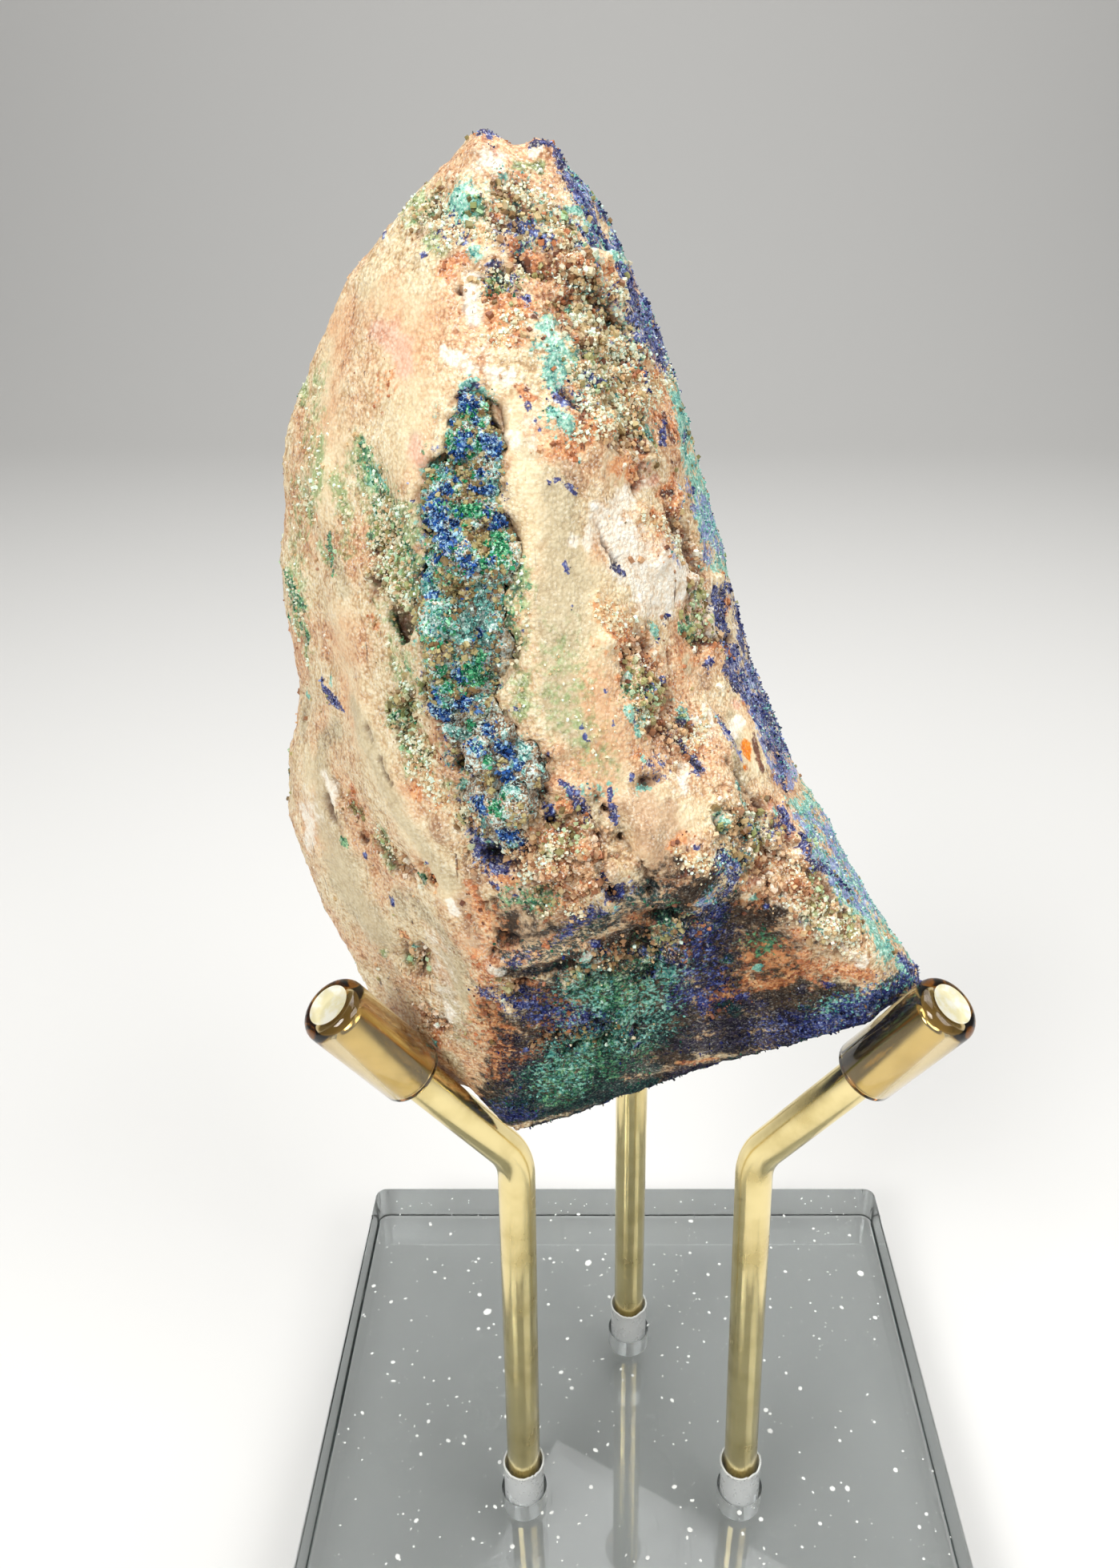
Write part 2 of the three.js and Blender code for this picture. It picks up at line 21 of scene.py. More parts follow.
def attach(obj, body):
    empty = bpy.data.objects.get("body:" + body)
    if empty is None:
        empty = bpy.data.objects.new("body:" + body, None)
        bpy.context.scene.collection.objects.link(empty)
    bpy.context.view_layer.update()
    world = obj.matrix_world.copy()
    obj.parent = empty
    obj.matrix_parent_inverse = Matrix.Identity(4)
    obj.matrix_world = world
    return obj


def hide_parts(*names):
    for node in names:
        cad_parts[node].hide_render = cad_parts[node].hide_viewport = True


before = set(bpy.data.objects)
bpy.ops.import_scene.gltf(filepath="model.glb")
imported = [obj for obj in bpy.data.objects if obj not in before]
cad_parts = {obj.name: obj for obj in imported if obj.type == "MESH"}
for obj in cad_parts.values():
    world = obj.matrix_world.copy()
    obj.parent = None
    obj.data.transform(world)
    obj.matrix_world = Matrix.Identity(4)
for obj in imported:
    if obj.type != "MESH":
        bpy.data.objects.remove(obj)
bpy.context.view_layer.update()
MM = 0.001
print("parts in the frame:", len(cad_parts))

# %% [markdown]
# ## Camera
#
# A camera can be set by eye, or worked out from straight edges of known direction. The slab's
# edges and the upright rods gave this one. It comes first because the coloured patches of the
# stone are placed by where they are seen: a ray through a place in the picture is followed to the
# stone's surface, and the paint goes on there, in the round.

# %% Camera
def added(name, data):
    """New object in the scene."""
    made = bpy.data.objects.new(name, data)
    bpy.context.scene.collection.objects.link(made)
    return made


PHOTO_WIDTH = 1398
PHOTO_HEIGHT = 1959
SENSOR = 36
LENS = 27.75
SHIFT_X = -0.0276
CAMERA_PLACE = Vector((-4.03, -115.95, 175.2)) * MM
CAMERA_TURN = Matrix.Rotation(math.radians(63.1), 4, "X")

camera_data = bpy.data.cameras.new("camera")
camera_data.sensor_width = SENSOR
camera_data.lens = LENS
camera_data.shift_x = SHIFT_X
camera_data.clip_start = 0.005
camera = added("camera", camera_data)
camera.matrix_world = Matrix.Translation(CAMERA_PLACE) @ CAMERA_TURN
bpy.context.scene.camera = camera

FOCUS = LENS / SENSOR * PHOTO_HEIGHT
CENTRE_X = PHOTO_WIDTH / 2 - SHIFT_X * PHOTO_HEIGHT
CENTRE_Y = PHOTO_HEIGHT / 2


def sight_line(x, y):
    """Direction in which the camera sees a point of the picture."""
    return CAMERA_TURN.to_3x3() @ Vector(((x - CENTRE_X) / FOCUS, (CENTRE_Y - y) / FOCUS, -1))


def seen(surface, x, y):
    """Place on the surface that the camera sees at a point of the picture, and its distance."""
    place = surface.ray_cast(CAMERA_PLACE, sight_line(x, y))[0]
    if place is None:
        return None, 0
    return place, (place - CAMERA_PLACE).length


print("camera at", tuple(round(v, 4) for v in CAMERA_PLACE))

# %% [markdown]
# ## Studio
#
# The floor is one pale sheet that curves up behind the object, so no horizon shows. Three large
# area lights stand round the object, and a fourth lights the sheet behind it. The world is kept
# dim: the brass mirrors it as dark bands.

# %% Floor
def points_in(made):
    """The points among what an operator made."""
    return [part for part in made["geom"] if isinstance(part, bmesh.types.BMVert)]


SWEEP_FRONT = -1.6
SWEEP_BACK = 0.75
SWEEP_HALF = 2.2
SWEEP_CURVE = 0.5
SWEEP_TOP = 2.4
FLOOR_LEVEL = -0.0002

bm = bmesh.new()
start = bm.verts.new((-SWEEP_HALF, SWEEP_FRONT, 0))
bend = bm.verts.new((-SWEEP_HALF, SWEEP_BACK, 0))
bm.edges.new((start, bend))
turned = bmesh.ops.spin(
    bm, geom=[bend], cent=(0, SWEEP_BACK, SWEEP_CURVE), axis=(1, 0, 0),
    angle=math.radians(90), steps=24,
)
rise = bmesh.ops.extrude_vert_indiv(bm, verts=[turned["geom_last"][0]])["verts"]
bmesh.ops.translate(bm, verts=rise, vec=(0, 0, SWEEP_TOP))
across = bmesh.ops.extrude_edge_only(bm, edges=list(bm.edges))
bmesh.ops.translate(bm, verts=points_in(across), vec=(2 * SWEEP_HALF, 0, 0))
bmesh.ops.translate(bm, verts=bm.verts, vec=(0, 0, FLOOR_LEVEL))
bmesh.ops.recalc_face_normals(bm, faces=bm.faces)
floor_mesh = bpy.data.meshes.new("floor")
bm.to_mesh(floor_mesh)
bm.free()
floor_mesh.shade_smooth()
floor = added("floor", floor_mesh)

# %% Lights
AIM = Vector((-8, 0, 120)) * MM
BACKDROP = Vector((0, 1100, 150)) * MM
WORLD_GREY = 0.17
# Each light: its place, the length of its side, its power and what it faces
LIGHTS = {
    "key": ((-0.30, -0.42, 0.52), 0.26, 3.05, AIM),
    "fill": ((0.40, -0.34, 0.62), 0.40, 2.7, AIM),
    "top": ((0.05, 0.10, 0.65), 0.45, 1.6, AIM),
    "backdrop": ((0, 0.20, 0.90), 0.60, 3.0, BACKDROP),
}


def area_light(name, place, side, power, aim):
    """Square soft light that faces a place."""
    data = bpy.data.lights.new(name, "AREA")
    data.shape = "SQUARE"
    data.size = side
    data.energy = power
    light = added(name, data)
    facing = (aim - Vector(place)).to_track_quat("-Z", "Y").to_matrix().to_4x4()
    light.matrix_world = Matrix.Translation(place) @ facing


for name, settings in LIGHTS.items():
    area_light(name, *settings)
world = bpy.data.worlds.new("studio")
world.use_nodes = True
world.node_tree.nodes["Background"].inputs["Color"].default_value = (WORLD_GREY,) * 3 + (1,)
bpy.context.scene.world = world
bpy.context.scene.view_settings.view_transform = "Standard"
print("lights:", list(LIGHTS))

# %% [markdown]
# ## Materials: short hands
#
# Materials are node trees. A few small helpers keep them readable: one turns everyday colours
# into the linear ones that shaders use, one adds a node with its inputs, and the rest are the
# mixes, sums and noises that every material here is made of.

# %% Node helpers
def colour(red, green, blue):
    """Linear colour from the usual 0 to 255 values."""
    def linear(value):
        value /= 255
        return value / 12.92 if value <= 0.04045 else ((value + 0.055) / 1.055) ** 2.4
    return (linear(red), linear(green), linear(blue), 1)


def node(tree, kind, inputs=None, **settings):
    """Adds a node. An input is a plain value, or the socket that feeds it."""
    made = tree.nodes.new(kind)
    for name, value in settings.items():
        setattr(made, name, value)
    for name, value in (inputs or {}).items():
        if isinstance(value, bpy.types.NodeSocket):
            tree.links.new(value, made.inputs[name])
        else:
            made.inputs[name].default_value = value
    return made


def tree_of(*values):
    """Node tree that the first socket among some values is in."""
    return next(value.id_data for value in values if isinstance(value, bpy.types.NodeSocket))


MIX_A = 6
MIX_B = 7
MIX_RESULT = 2


def mixed(amount, first, second, blend="MIX"):
    """Colour that goes from the first to the second as the amount rises."""
    made = node(tree_of(amount), "ShaderNodeMix", {0: amount, MIX_A: first, MIX_B: second},
                data_type="RGBA", blend_type=blend)
    return made.outputs[MIX_RESULT]


def maths(operation, first, second=0.0):
    """Result of one sum."""
    tree = tree_of(first, second)
    return node(tree, "ShaderNodeMath", {0: first, 1: second}, operation=operation).outputs[0]


def times(first, second):
    """First times second."""
    return maths("MULTIPLY", first, second)


def plus(first, second):
    """First plus second."""
    return maths("ADD", first, second)


def less(first, second):
    """First less second."""
    return maths("SUBTRACT", first, second)


def ranged(value, low, high, out_low=0.0, out_high=1.0):
    """Value moved smoothly from one range to another."""
    return node(value.id_data, "ShaderNodeMapRange", {
        "Value": value, "From Min": low, "From Max": high, "To Min": out_low, "To Max": out_high,
    }, interpolation_type="SMOOTHSTEP").outputs[0]


def stored(tree, name):
    """A number kept on the mesh's points."""
    return node(tree, "ShaderNodeAttribute", attribute_name=name).outputs["Fac"]


def place_on(tree):
    """Object coordinates, which stay with the piece."""
    return node(tree, "ShaderNodeTexCoord").outputs["Object"]


def noisy(place, size, detail=2.0, roughness=0.55):
    """Noise with blotches of about one size, given in millimetres."""
    return node(place.id_data, "ShaderNodeTexNoise", {
        "Vector": place, "Scale": 1 / (size * MM), "Detail": detail, "Roughness": roughness,
    }).outputs["Fac"]


def stretched(place, scale, turn=(0, 0, 0)):
    """Coordinates turned and then drawn out or pressed together along each axis."""
    return node(place.id_data, "ShaderNodeMapping", {
        "Vector": place, "Rotation": turn, "Scale": scale}).outputs["Vector"]


def larger(first, second):
    """The larger of two numbers."""
    return maths("MAXIMUM", first, second)


def bumped(shader, height, strength, depth):
    """Gives a material fine relief, its depth in millimetres."""
    bump = node(height.id_data, "ShaderNodeBump", {
        "Strength": strength, "Distance": depth * MM, "Height": height})
    height.id_data.links.new(bump.outputs["Normal"], shader.inputs["Normal"])


def material(name, values=None):
    """New material with its tree and its Principled shader, with plain values on its sockets."""
    made = bpy.data.materials.new(name)
    made.use_nodes = True
    shader = made.node_tree.nodes["Principled BSDF"]
    for socket, value in (values or {}).items():
        shader.inputs[socket].default_value = value
    return made, made.node_tree, shader


pale, _, _ = material("pale_floor", {"Base Color": colour(232, 231, 228), "Roughness": 0.85})
floor_mesh.materials.append(pale)

# %% [markdown]
# ## Grit, a shared effect
#
# Every mineral here is a mass of grains. One node group gives what they all need: a relief height
# from 0 in the seams to 1 on the tops, which also shares out the tones, dark in the seams as painted
# shade and pale on the tops as painted highlights, and a mask of tiny spots where the materials
# paint glints. Each material places it with its own grain size.

# %% Grit group
def new_group(name, inputs, outputs):
    """Empty shader group with number sockets."""
    group = bpy.data.node_groups.new(name, "ShaderNodeTree")
    for label, default in inputs.items():
        made = group.interface.new_socket(label, in_out="INPUT", socket_type="NodeSocketFloat")
        made.default_value = default
    for label in outputs:
        group.interface.new_socket(label, in_out="OUTPUT", socket_type="NodeSocketFloat")
    return group, group.nodes.new("NodeGroupInput"), group.nodes.new("NodeGroupOutput")


grit, given, result = new_group("grit", {"Size": 0.5}, ("Height", "Bright"))
place = place_on(grit)
scale = maths("DIVIDE", 1 / MM, given.outputs["Size"])
fine = node(grit, "ShaderNodeTexNoise", {
    "Vector": place, "Scale": scale, "Detail": 3.0, "Roughness": 0.6}).outputs["Fac"]
broad = node(grit, "ShaderNodeTexNoise", {
    "Vector": place, "Scale": times(scale, 0.3), "Detail": 3.0}).outputs["Fac"]
cells = node(grit, "ShaderNodeTexVoronoi", {
    "Vector": place, "Scale": times(scale, 1.2)}).outputs["Distance"]
height = plus(times(fine, 0.42), times(broad, 0.33))
height = less(height, times(cells, 0.25))
twinkle = node(grit, "ShaderNodeTexNoise", {
    "Vector": place, "Scale": times(scale, 1.9), "Detail": 1.0}).outputs["Fac"]
steady = node(grit, "ShaderNodeMapRange", {
    "Value": height, "From Min": 0.12, "From Max": 0.38}).outputs[0]
grit.links.new(steady, result.inputs["Height"])
grit.links.new(ranged(twinkle, 0.58, 0.64), result.inputs["Bright"])
print("grit group:", len(grit.nodes), "nodes")

# %% [markdown]
# ## Ragged coat, a shared effect
#
# A coat of mineral never ends in a clean line: it breaks up into patches and then into single
# grains. The strokes painted on the stone are soft, and this group eats into them with noise, so
# that the same stroke gives a solid middle and a scattered rim.

# %% Ragged group
ragged, given, result = new_group(
    "ragged", {"Paint": 0, "Size": 1, "Bite": 1, "Softness": 0.06}, ("Cover",))
place = place_on(ragged)
scale = maths("DIVIDE", 1 / MM, given.outputs["Size"])
torn = node(ragged, "ShaderNodeTexNoise", {
    "Vector": place, "Scale": scale, "Detail": 4.0, "Roughness": 0.65}).outputs["Fac"]
bite = times(less(torn, 0.5), given.outputs["Bite"])
level = plus(given.outputs["Paint"], bite)
low = less(0.5, given.outputs["Softness"])
high = plus(0.5, given.outputs["Softness"])
cover = ranged(level, low, high)
present = ranged(given.outputs["Paint"], 0.02, 0.12)
ragged.links.new(times(cover, present), result.inputs["Cover"])
print("ragged group:", len(ragged.nodes), "nodes")

# %% [markdown]
# ## The stone: where each mineral lies
#
# Each list has strokes, and a stroke is one dab or a row of them. A dab is a place across and down
# in the picture and a radius, all in the picture's own points. They were laid over the photograph,
# one mineral at a time, as one would plan a painting. Noise makes the fine detail.

# %% Strokes
PAINTS = {}
PAINTS["azurite"] = [
    (594, 482, 5), [(574, 494, 5), (582, 490, 4)], [(603, 166, 5), (616, 168, 4)],
    [(664, 178, 6), (688, 180, 7)],
    [(690, 184, 8), (700, 204, 10), (712, 226, 12), (724, 250, 12), (736, 272, 13), (748, 290, 11)],
    [(770, 330, 6), (782, 352, 9), (792, 372, 9), (800, 388, 8)], (792, 420, 8),
    [(790, 396, 9), (806, 408, 13), (814, 426, 16), (822, 442, 12), (834, 460, 9), (842, 474, 7)],
    [(646, 278, 6), (660, 286, 8), (676, 296, 8), (690, 308, 5)], (611, 326, 7),
    [(607, 350, 6), (616, 358, 6)], (640, 342, 8), (547, 283, 6), [(584, 290, 4), (574, 298, 3)],
    (479, 294, 4), (532, 317, 5), (584, 306, 4), (548, 250, 4), (654, 376, 5),
    [(696, 492, 8), (705, 502, 11)], [(734, 468, 7), (748, 482, 6)], (763, 474, 5),
    [(655, 495, 4), (660, 514, 4)], [(670, 528, 4), (675, 534, 3)], [(684, 600, 4), (697, 596, 3)],
    [(706, 607, 4), (716, 618, 3)], [(830, 532, 6), (827, 552, 5)], (853, 546, 5), (875, 640, 4),
    (866, 612, 5), [(918, 750, 4), (924, 775, 6), (924, 800, 5)],
    [(908, 838, 9), (918, 852, 13), (928, 868, 12), (938, 880, 10)],
    [(950, 885, 10), (962, 905, 12), (970, 925, 11), (973, 945, 9), (975, 965, 10), (982, 985, 8)],
    [(955, 880, 8), (972, 900, 8), (980, 920, 7)], [(978, 1010, 8), (985, 1030, 9), (975, 1036, 8)],
    [(1000, 1045, 8), (1010, 1062, 9), (1016, 1078, 6), (1032, 1085, 7), (1048, 1100, 7), (1060, 1112, 5)],
    [(1122, 1195, 6), (1132, 1206, 6), (1146, 1222, 5)],
    [(1006, 1290, 12), (1022, 1278, 18), (1045, 1270, 16), (1090, 1250, 13), (1130, 1228, 8)],
    [(1040, 1290, 8), (1070, 1278, 10), (1085, 1270, 6)], (1035, 1230, 6), (960, 1132, 5),
    [(875, 1142, 9), (884, 1132, 6)], [(858, 1166, 8), (872, 1168, 6)], [(905, 1088, 8), (925, 1100, 7)],
    [(605, 1236, 6), (612, 1246, 6)], [(634, 1246, 9), (648, 1254, 7), (662, 1252, 6)], (725, 1272, 7),
    [(744, 1180, 5), (755, 1193, 5)], [(770, 1112, 10), (762, 1120, 8)], (752, 1098, 5),
    [(614, 1400, 8), (636, 1394, 8), (660, 1396, 6)], (590, 1384, 7), [(870, 1240, 8), (882, 1262, 8)],
    (900, 1224, 9), (922, 1246, 8), (790, 1290, 6), (850, 1205, 6), (655, 1312, 5),
    [(541, 888, 6), (552, 904, 6)], [(612, 915, 8), (600, 930, 8)], [(628, 935, 7), (636, 946, 6)],
    [(652, 932, 5), (654, 948, 7)], [(616, 975, 5), (626, 964, 8), (642, 962, 7), (660, 966, 5)],
    (682, 944, 5), [(597, 1000, 5), (600, 1018, 5)], [(592, 1044, 8), (598, 1054, 6), (604, 1074, 8)],
    [(612, 1088, 6), (628, 1084, 5)], (636, 1045, 8), (620, 1035, 6), [(615, 1102, 4), (622, 1110, 4)],
    (641, 1120, 4), (652, 1076, 5), [(686, 1010, 5), (690, 1022, 4)], (694, 1062, 4),
    [(707, 976, 5), (716, 990, 5), (726, 1010, 6), (734, 1026, 5)],
    [(757, 984, 4), (762, 994, 5), (766, 1018, 6), (770, 1030, 4)], (657, 678, 4),
    [(704, 702, 4), (707, 712, 4)], [(768, 708, 6), (778, 716, 4)], (735, 776, 4), (658, 765, 3),
    (711, 760, 3), (658, 786, 3), (679, 797, 3), [(618, 854, 5), (620, 862, 4)], (643, 856, 3),
    (641, 884, 4), (757, 864, 4), (746, 892, 3), [(724, 898, 4), (731, 916, 3), (735, 936, 4)],
    (766, 903, 4), (826, 852, 6), (822, 800, 5), (884, 833, 6), (833, 774, 7), (848, 904, 5), (838, 917, 5),
    [(855, 930, 4), (866, 948, 4), (872, 958, 7)], (788, 968, 5), (872, 1058, 5),
    [(896, 1070, 8), (908, 1076, 9), (922, 1086, 7)], (940, 1034, 6),
    [(402, 848, 5), (410, 866, 6), (422, 880, 6), (432, 886, 3)], (488, 1122, 5), (535, 1078, 5),
    (458, 1070, 4),
]
PAINTS["malachite"] = [
    [(600, 252, 7), (596, 262, 6)], (660, 262, 5), [(618, 342, 6), (616, 362, 6), (632, 362, 7)],
    (737, 440, 7), (711, 386, 4), (745, 385, 4), (690, 520, 6), (808, 533, 6),
    [(452, 555, 7), (458, 578, 8), (468, 600, 8), (482, 618, 8)], [(462, 668, 7), (472, 676, 7)],
    [(505, 680, 8), (515, 700, 7)], [(357, 718, 7), (370, 742, 9), (380, 760, 8)], (362, 772, 6),
    (384, 795, 6), [(410, 668, 5), (414, 690, 5), (416, 712, 4)], [(493, 775, 8), (503, 795, 8)],
    [(622, 670, 6), (626, 688, 7), (625, 704, 5)], [(628, 740, 4), (632, 790, 4)], (652, 700, 4),
    (655, 732, 4), (655, 802, 4), [(852, 782, 6), (862, 786, 9), (870, 800, 7)],
    [(872, 748, 8), (878, 740, 5)], (788, 858, 6), (811, 862, 5), (590, 905, 5),
    [(625, 1000, 7), (640, 992, 6), (622, 1012, 6)], (636, 1108, 4), (665, 1126, 5), (472, 1050, 5),
    (430, 1052, 6), (497, 895, 8), [(655, 945, 5), (645, 960, 5)], (386, 448, 5), (960, 1182, 8),
    (840, 1128, 7), (838, 1225, 8), (765, 1345, 5), (508, 832, 5), (525, 1098, 5),
]
PAINTS["turquoise"] = [
    [(588, 477, 6), (578, 486, 6)], (600, 492, 5),
    [(578, 238, 12), (570, 252, 13), (588, 256, 13), (576, 270, 10)], (556, 262, 6), (595, 316, 7),
    [(690, 400, 12), (684, 418, 12), (696, 432, 14), (700, 448, 11), (688, 462, 10), (692, 478, 9)],
    (672, 408, 6), (712, 440, 6), [(692, 520, 7), (702, 528, 9), (712, 536, 6)], (770, 494, 6),
    (722, 572, 4), (806, 535, 7), [(705, 262, 6), (725, 262, 5)], (836, 488, 5),
    [(742, 296, 6), (752, 306, 6), (764, 316, 7), (772, 322, 5)],
    [(846, 488, 4), (848, 510, 5), (852, 530, 5)],
    [(856, 560, 4), (862, 590, 5), (868, 610, 6), (872, 632, 6), (876, 655, 5), (884, 675, 4)],
    [(900, 700, 3), (912, 725, 3)], [(816, 782, 7), (822, 790, 5)], (788, 843, 7),
    [(786, 886, 6), (792, 900, 6), (798, 918, 6)], [(848, 884, 6), (854, 896, 7)], (808, 983, 6),
    (803, 948, 4), [(900, 1020, 6), (906, 1038, 5)], (944, 1034, 5), (757, 980, 4),
    [(1006, 1008, 6), (1012, 1024, 8), (1016, 1042, 7)], (1024, 1060, 6),
    [(1062, 1122, 9), (1078, 1138, 11), (1088, 1156, 13), (1098, 1174, 15), (1108, 1190, 13)],
    [(1120, 1202, 6), (1138, 1222, 6)], [(565, 915, 5), (580, 924, 5)], [(658, 940, 6), (650, 955, 5)],
    (612, 955, 4), (640, 925, 4), [(820, 1205, 5), (838, 1215, 6)], (950, 1208, 6), (945, 1120, 5),
    (920, 1078, 5), (520, 1186, 4), (546, 1302, 4), (384, 868, 5), (757, 1190, 4),
    [(945, 905, 4), (956, 915, 4)], (1030, 1158, 5), (480, 606, 7), (620, 335, 5),
    [(536, 735, 5), (532, 712, 5)], (415, 852, 5),
]
PAINTS["deep_teal"] = [
    [(748, 1260, 18), (775, 1268, 22), (805, 1276, 20), (830, 1268, 16)],
    [(756, 1292, 20), (790, 1304, 22), (820, 1296, 16)],
    [(760, 1322, 22), (790, 1332, 20), (815, 1335, 14)],
    [(738, 1346, 22), (765, 1360, 16), (790, 1352, 14)],
    [(700, 1340, 18), (720, 1362, 18), (745, 1375, 12)],
    [(612, 1397, 12), (640, 1388, 16), (664, 1374, 18), (690, 1378, 16)],
    [(700, 1310, 16), (728, 1302, 14)], [(650, 1354, 14), (665, 1335, 12)], (600, 1388, 8),
    [(680, 1215, 10), (700, 1212, 10)], [(745, 1220, 14), (760, 1236, 14)], (720, 1238, 12),
    [(830, 1150, 12), (845, 1135, 10)], [(880, 1118, 10), (895, 1105, 8)],
    [(890, 1160, 10), (900, 1145, 8)], (810, 1180, 12), (800, 1215, 14), [(905, 1255, 10), (924, 1266, 8)],
    (840, 1245, 12), (905, 1200, 8), (1005, 1258, 6), [(1105, 1225, 5), (1130, 1218, 5)],
    [(632, 1400, 10), (700, 1386, 13), (760, 1370, 13), (815, 1352, 11)],
]
# Dark coat of the lower facet and of some hollows. It is painted darker than its own colour: painted shade
# where the stone faces down or sinks.
PAINTS["soil_and_shade"] = [
    [(625, 1215, 12), (680, 1214, 18), (740, 1202, 22), (780, 1180, 26), (820, 1150, 28), (880, 1105, 22)],
    [(612, 1262, 18), (640, 1300, 30), (626, 1350, 24), (606, 1392, 20)],
    [(680, 1250, 40), (690, 1310, 46), (670, 1365, 36), (640, 1395, 18)],
    [(750, 1240, 44), (760, 1300, 50), (745, 1360, 40), (700, 1385, 22)],
    [(820, 1220, 46), (830, 1280, 50), (840, 1320, 30)],
    [(890, 1180, 46), (910, 1250, 52), (920, 1306, 30)],
    [(950, 1180, 40), (985, 1250, 46), (1000, 1290, 26)], [(1030, 1240, 30), (1060, 1266, 28)],
    [(1100, 1250, 20), (1140, 1226, 9)], [(910, 1140, 34), (960, 1150, 26)],
    [(690, 1018, 8), (670, 985, 8)], [(620, 1010, 14), (640, 1040, 20), (610, 1072, 12)], (775, 1118, 12),
    [(640, 1150, 12), (630, 1176, 12)],
    [(632, 1402, 12), (700, 1388, 14), (760, 1371, 14), (822, 1349, 14), (870, 1337, 14)],
    [(870, 1337, 14), (930, 1323, 14), (979, 1308, 12), (1040, 1290, 11), (1087, 1276, 10)],
]
PAINTS["violet_dark"] = [
    [(850, 1306, 16), (900, 1306, 20), (950, 1300, 20), (1000, 1298, 18), (1040, 1288, 12)],
    [(880, 1282, 14), (930, 1280, 16)], [(970, 1276, 16), (1010, 1270, 14)], (1075, 1274, 10),
    (850, 1262, 14), [(900, 1256, 12), (950, 1256, 12)], (860, 1215, 10), [(880, 1150, 10), (900, 1120, 8)],
    [(640, 1060, 8), (655, 1055, 6)], (688, 1016, 6), (1000, 1240, 9), (826, 542, 7), (810, 400, 7),
    [(640, 1372, 10), (620, 1392, 10)], (730, 1296, 10), (700, 1262, 9),
    [(840, 1345, 11), (900, 1330, 13), (960, 1314, 12), (1020, 1297, 10), (1080, 1279, 8)],
]
PAINTS["iron"] = [
    [(700, 300, 14), (730, 350, 14)], (700, 380, 14), [(760, 450, 14), (800, 470, 12)],
    [(740, 530, 16), (700, 560, 14)], (650, 420, 12), (790, 590, 14), (850, 640, 10),
    [(636, 306, 8), (650, 318, 12), (670, 326, 12), (690, 338, 10), (708, 348, 10)],
    [(620, 372, 10), (640, 385, 12), (665, 385, 9)], [(612, 395, 8), (620, 412, 9), (632, 428, 8)],
    [(552, 342, 8), (560, 328, 10), (582, 322, 8)], [(622, 262, 6), (628, 272, 6)],
    [(720, 330, 8), (745, 325, 8), (760, 335, 7)],
    [(712, 352, 7), (730, 368, 8), (748, 384, 9), (775, 412, 8)], [(745, 355, 8), (765, 375, 8)],
    [(722, 410, 10), (728, 430, 8)], [(752, 410, 8), (765, 425, 8)], [(655, 480, 8), (662, 498, 6)],
    [(692, 552, 7), (705, 560, 10), (715, 572, 7)], (722, 525, 8),
    [(768, 518, 8), (780, 528, 9), (795, 545, 9), (805, 560, 9)],
    [(818, 520, 8), (838, 530, 9), (846, 550, 8)], [(760, 500, 8), (785, 500, 9), (800, 480, 8)],
    (820, 470, 8), [(770, 585, 12), (780, 570, 10)], [(840, 600, 9), (835, 620, 8)], (815, 638, 7),
    [(835, 640, 8), (852, 630, 7)], (856, 665, 8), (868, 696, 7),
    [(762, 790, 8), (775, 800, 9), (790, 790, 7)],
    [(780, 822, 9), (800, 815, 10), (815, 830, 10), (808, 845, 9)], (770, 850, 8), (745, 758, 7),
    (848, 752, 7), [(905, 765, 7), (910, 750, 5)], [(880, 800, 7), (900, 806, 8), (912, 818, 6)],
    [(820, 890, 8), (832, 900, 8)], (795, 940, 7), [(862, 905, 6), (875, 935, 6)], (465, 772, 5),
    (468, 788, 4), (395, 648, 8), [(515, 985, 9), (520, 998, 6)], [(440, 985, 9), (442, 1008, 9)],
    [(540, 1092, 7), (546, 1106, 6)], [(585, 1105, 8), (600, 1130, 9), (605, 1155, 10)],
    [(700, 1000, 8), (710, 1008, 6)], [(690, 1050, 7), (720, 1060, 8), (745, 1070, 8)],
    [(640, 1100, 8), (620, 1095, 6)], [(700, 1078, 9), (680, 1110, 8)], [(712, 1125, 8), (740, 1108, 6)],
    (508, 1170, 6), [(545, 1284, 6), (548, 1305, 5)], (526, 1262, 4), (524, 1236, 4),
    [(612, 1290, 8), (620, 1312, 9), (624, 1335, 8)], [(950, 1068, 8), (965, 1084, 9), (975, 1075, 6)],
    [(855, 1045, 8), (840, 1055, 6)], [(985, 1105, 7), (1015, 1110, 6)], [(1040, 1150, 7), (1070, 1166, 7)],
    [(1045, 1208, 10), (1066, 1213, 11), (1088, 1220, 7)], (865, 1215, 7), (1000, 1165, 12),
    [(935, 1228, 11), (952, 1235, 9), (980, 1230, 10), (1010, 1205, 10)], [(900, 1322, 5), (850, 1328, 5)],
    (930, 880, 5), (962, 1000, 5), [(670, 1190, 8), (690, 1170, 8)],
]
# Dark rust-brown: stain, and painted shade along the ledges and crevices of the iron band.
PAINTS["rust_and_ledge_shade"] = [
    [(706, 350, 4), (722, 362, 5), (742, 382, 6), (760, 400, 6), (770, 410, 5)],
    [(640, 316, 5), (655, 330, 4)], (668, 390, 4), (660, 482, 4), [(724, 522, 4), (731, 530, 4)],
    [(776, 524, 5), (786, 532, 5)], [(800, 550, 6), (806, 562, 5)], (762, 562, 4), (744, 605, 3),
    [(840, 552, 6), (832, 520, 5)], (840, 583, 4), [(829, 621, 5), (838, 615, 4)], (748, 637, 3),
    (773, 638, 4), [(800, 822, 7), (806, 834, 7), (812, 848, 6), (804, 860, 6)], (783, 820, 4),
    [(815, 872, 5), (805, 878, 5)], (812, 895, 5), [(872, 797, 4), (890, 802, 4), (912, 798, 4)],
    (540, 1096, 5), [(940, 915, 4), (946, 945, 5), (952, 962, 4)], (860, 1058, 4), (1055, 1142, 6),
    (710, 1130, 4), [(865, 1085, 5), (850, 1095, 4)], (700, 1036, 5), (676, 976, 4),
]
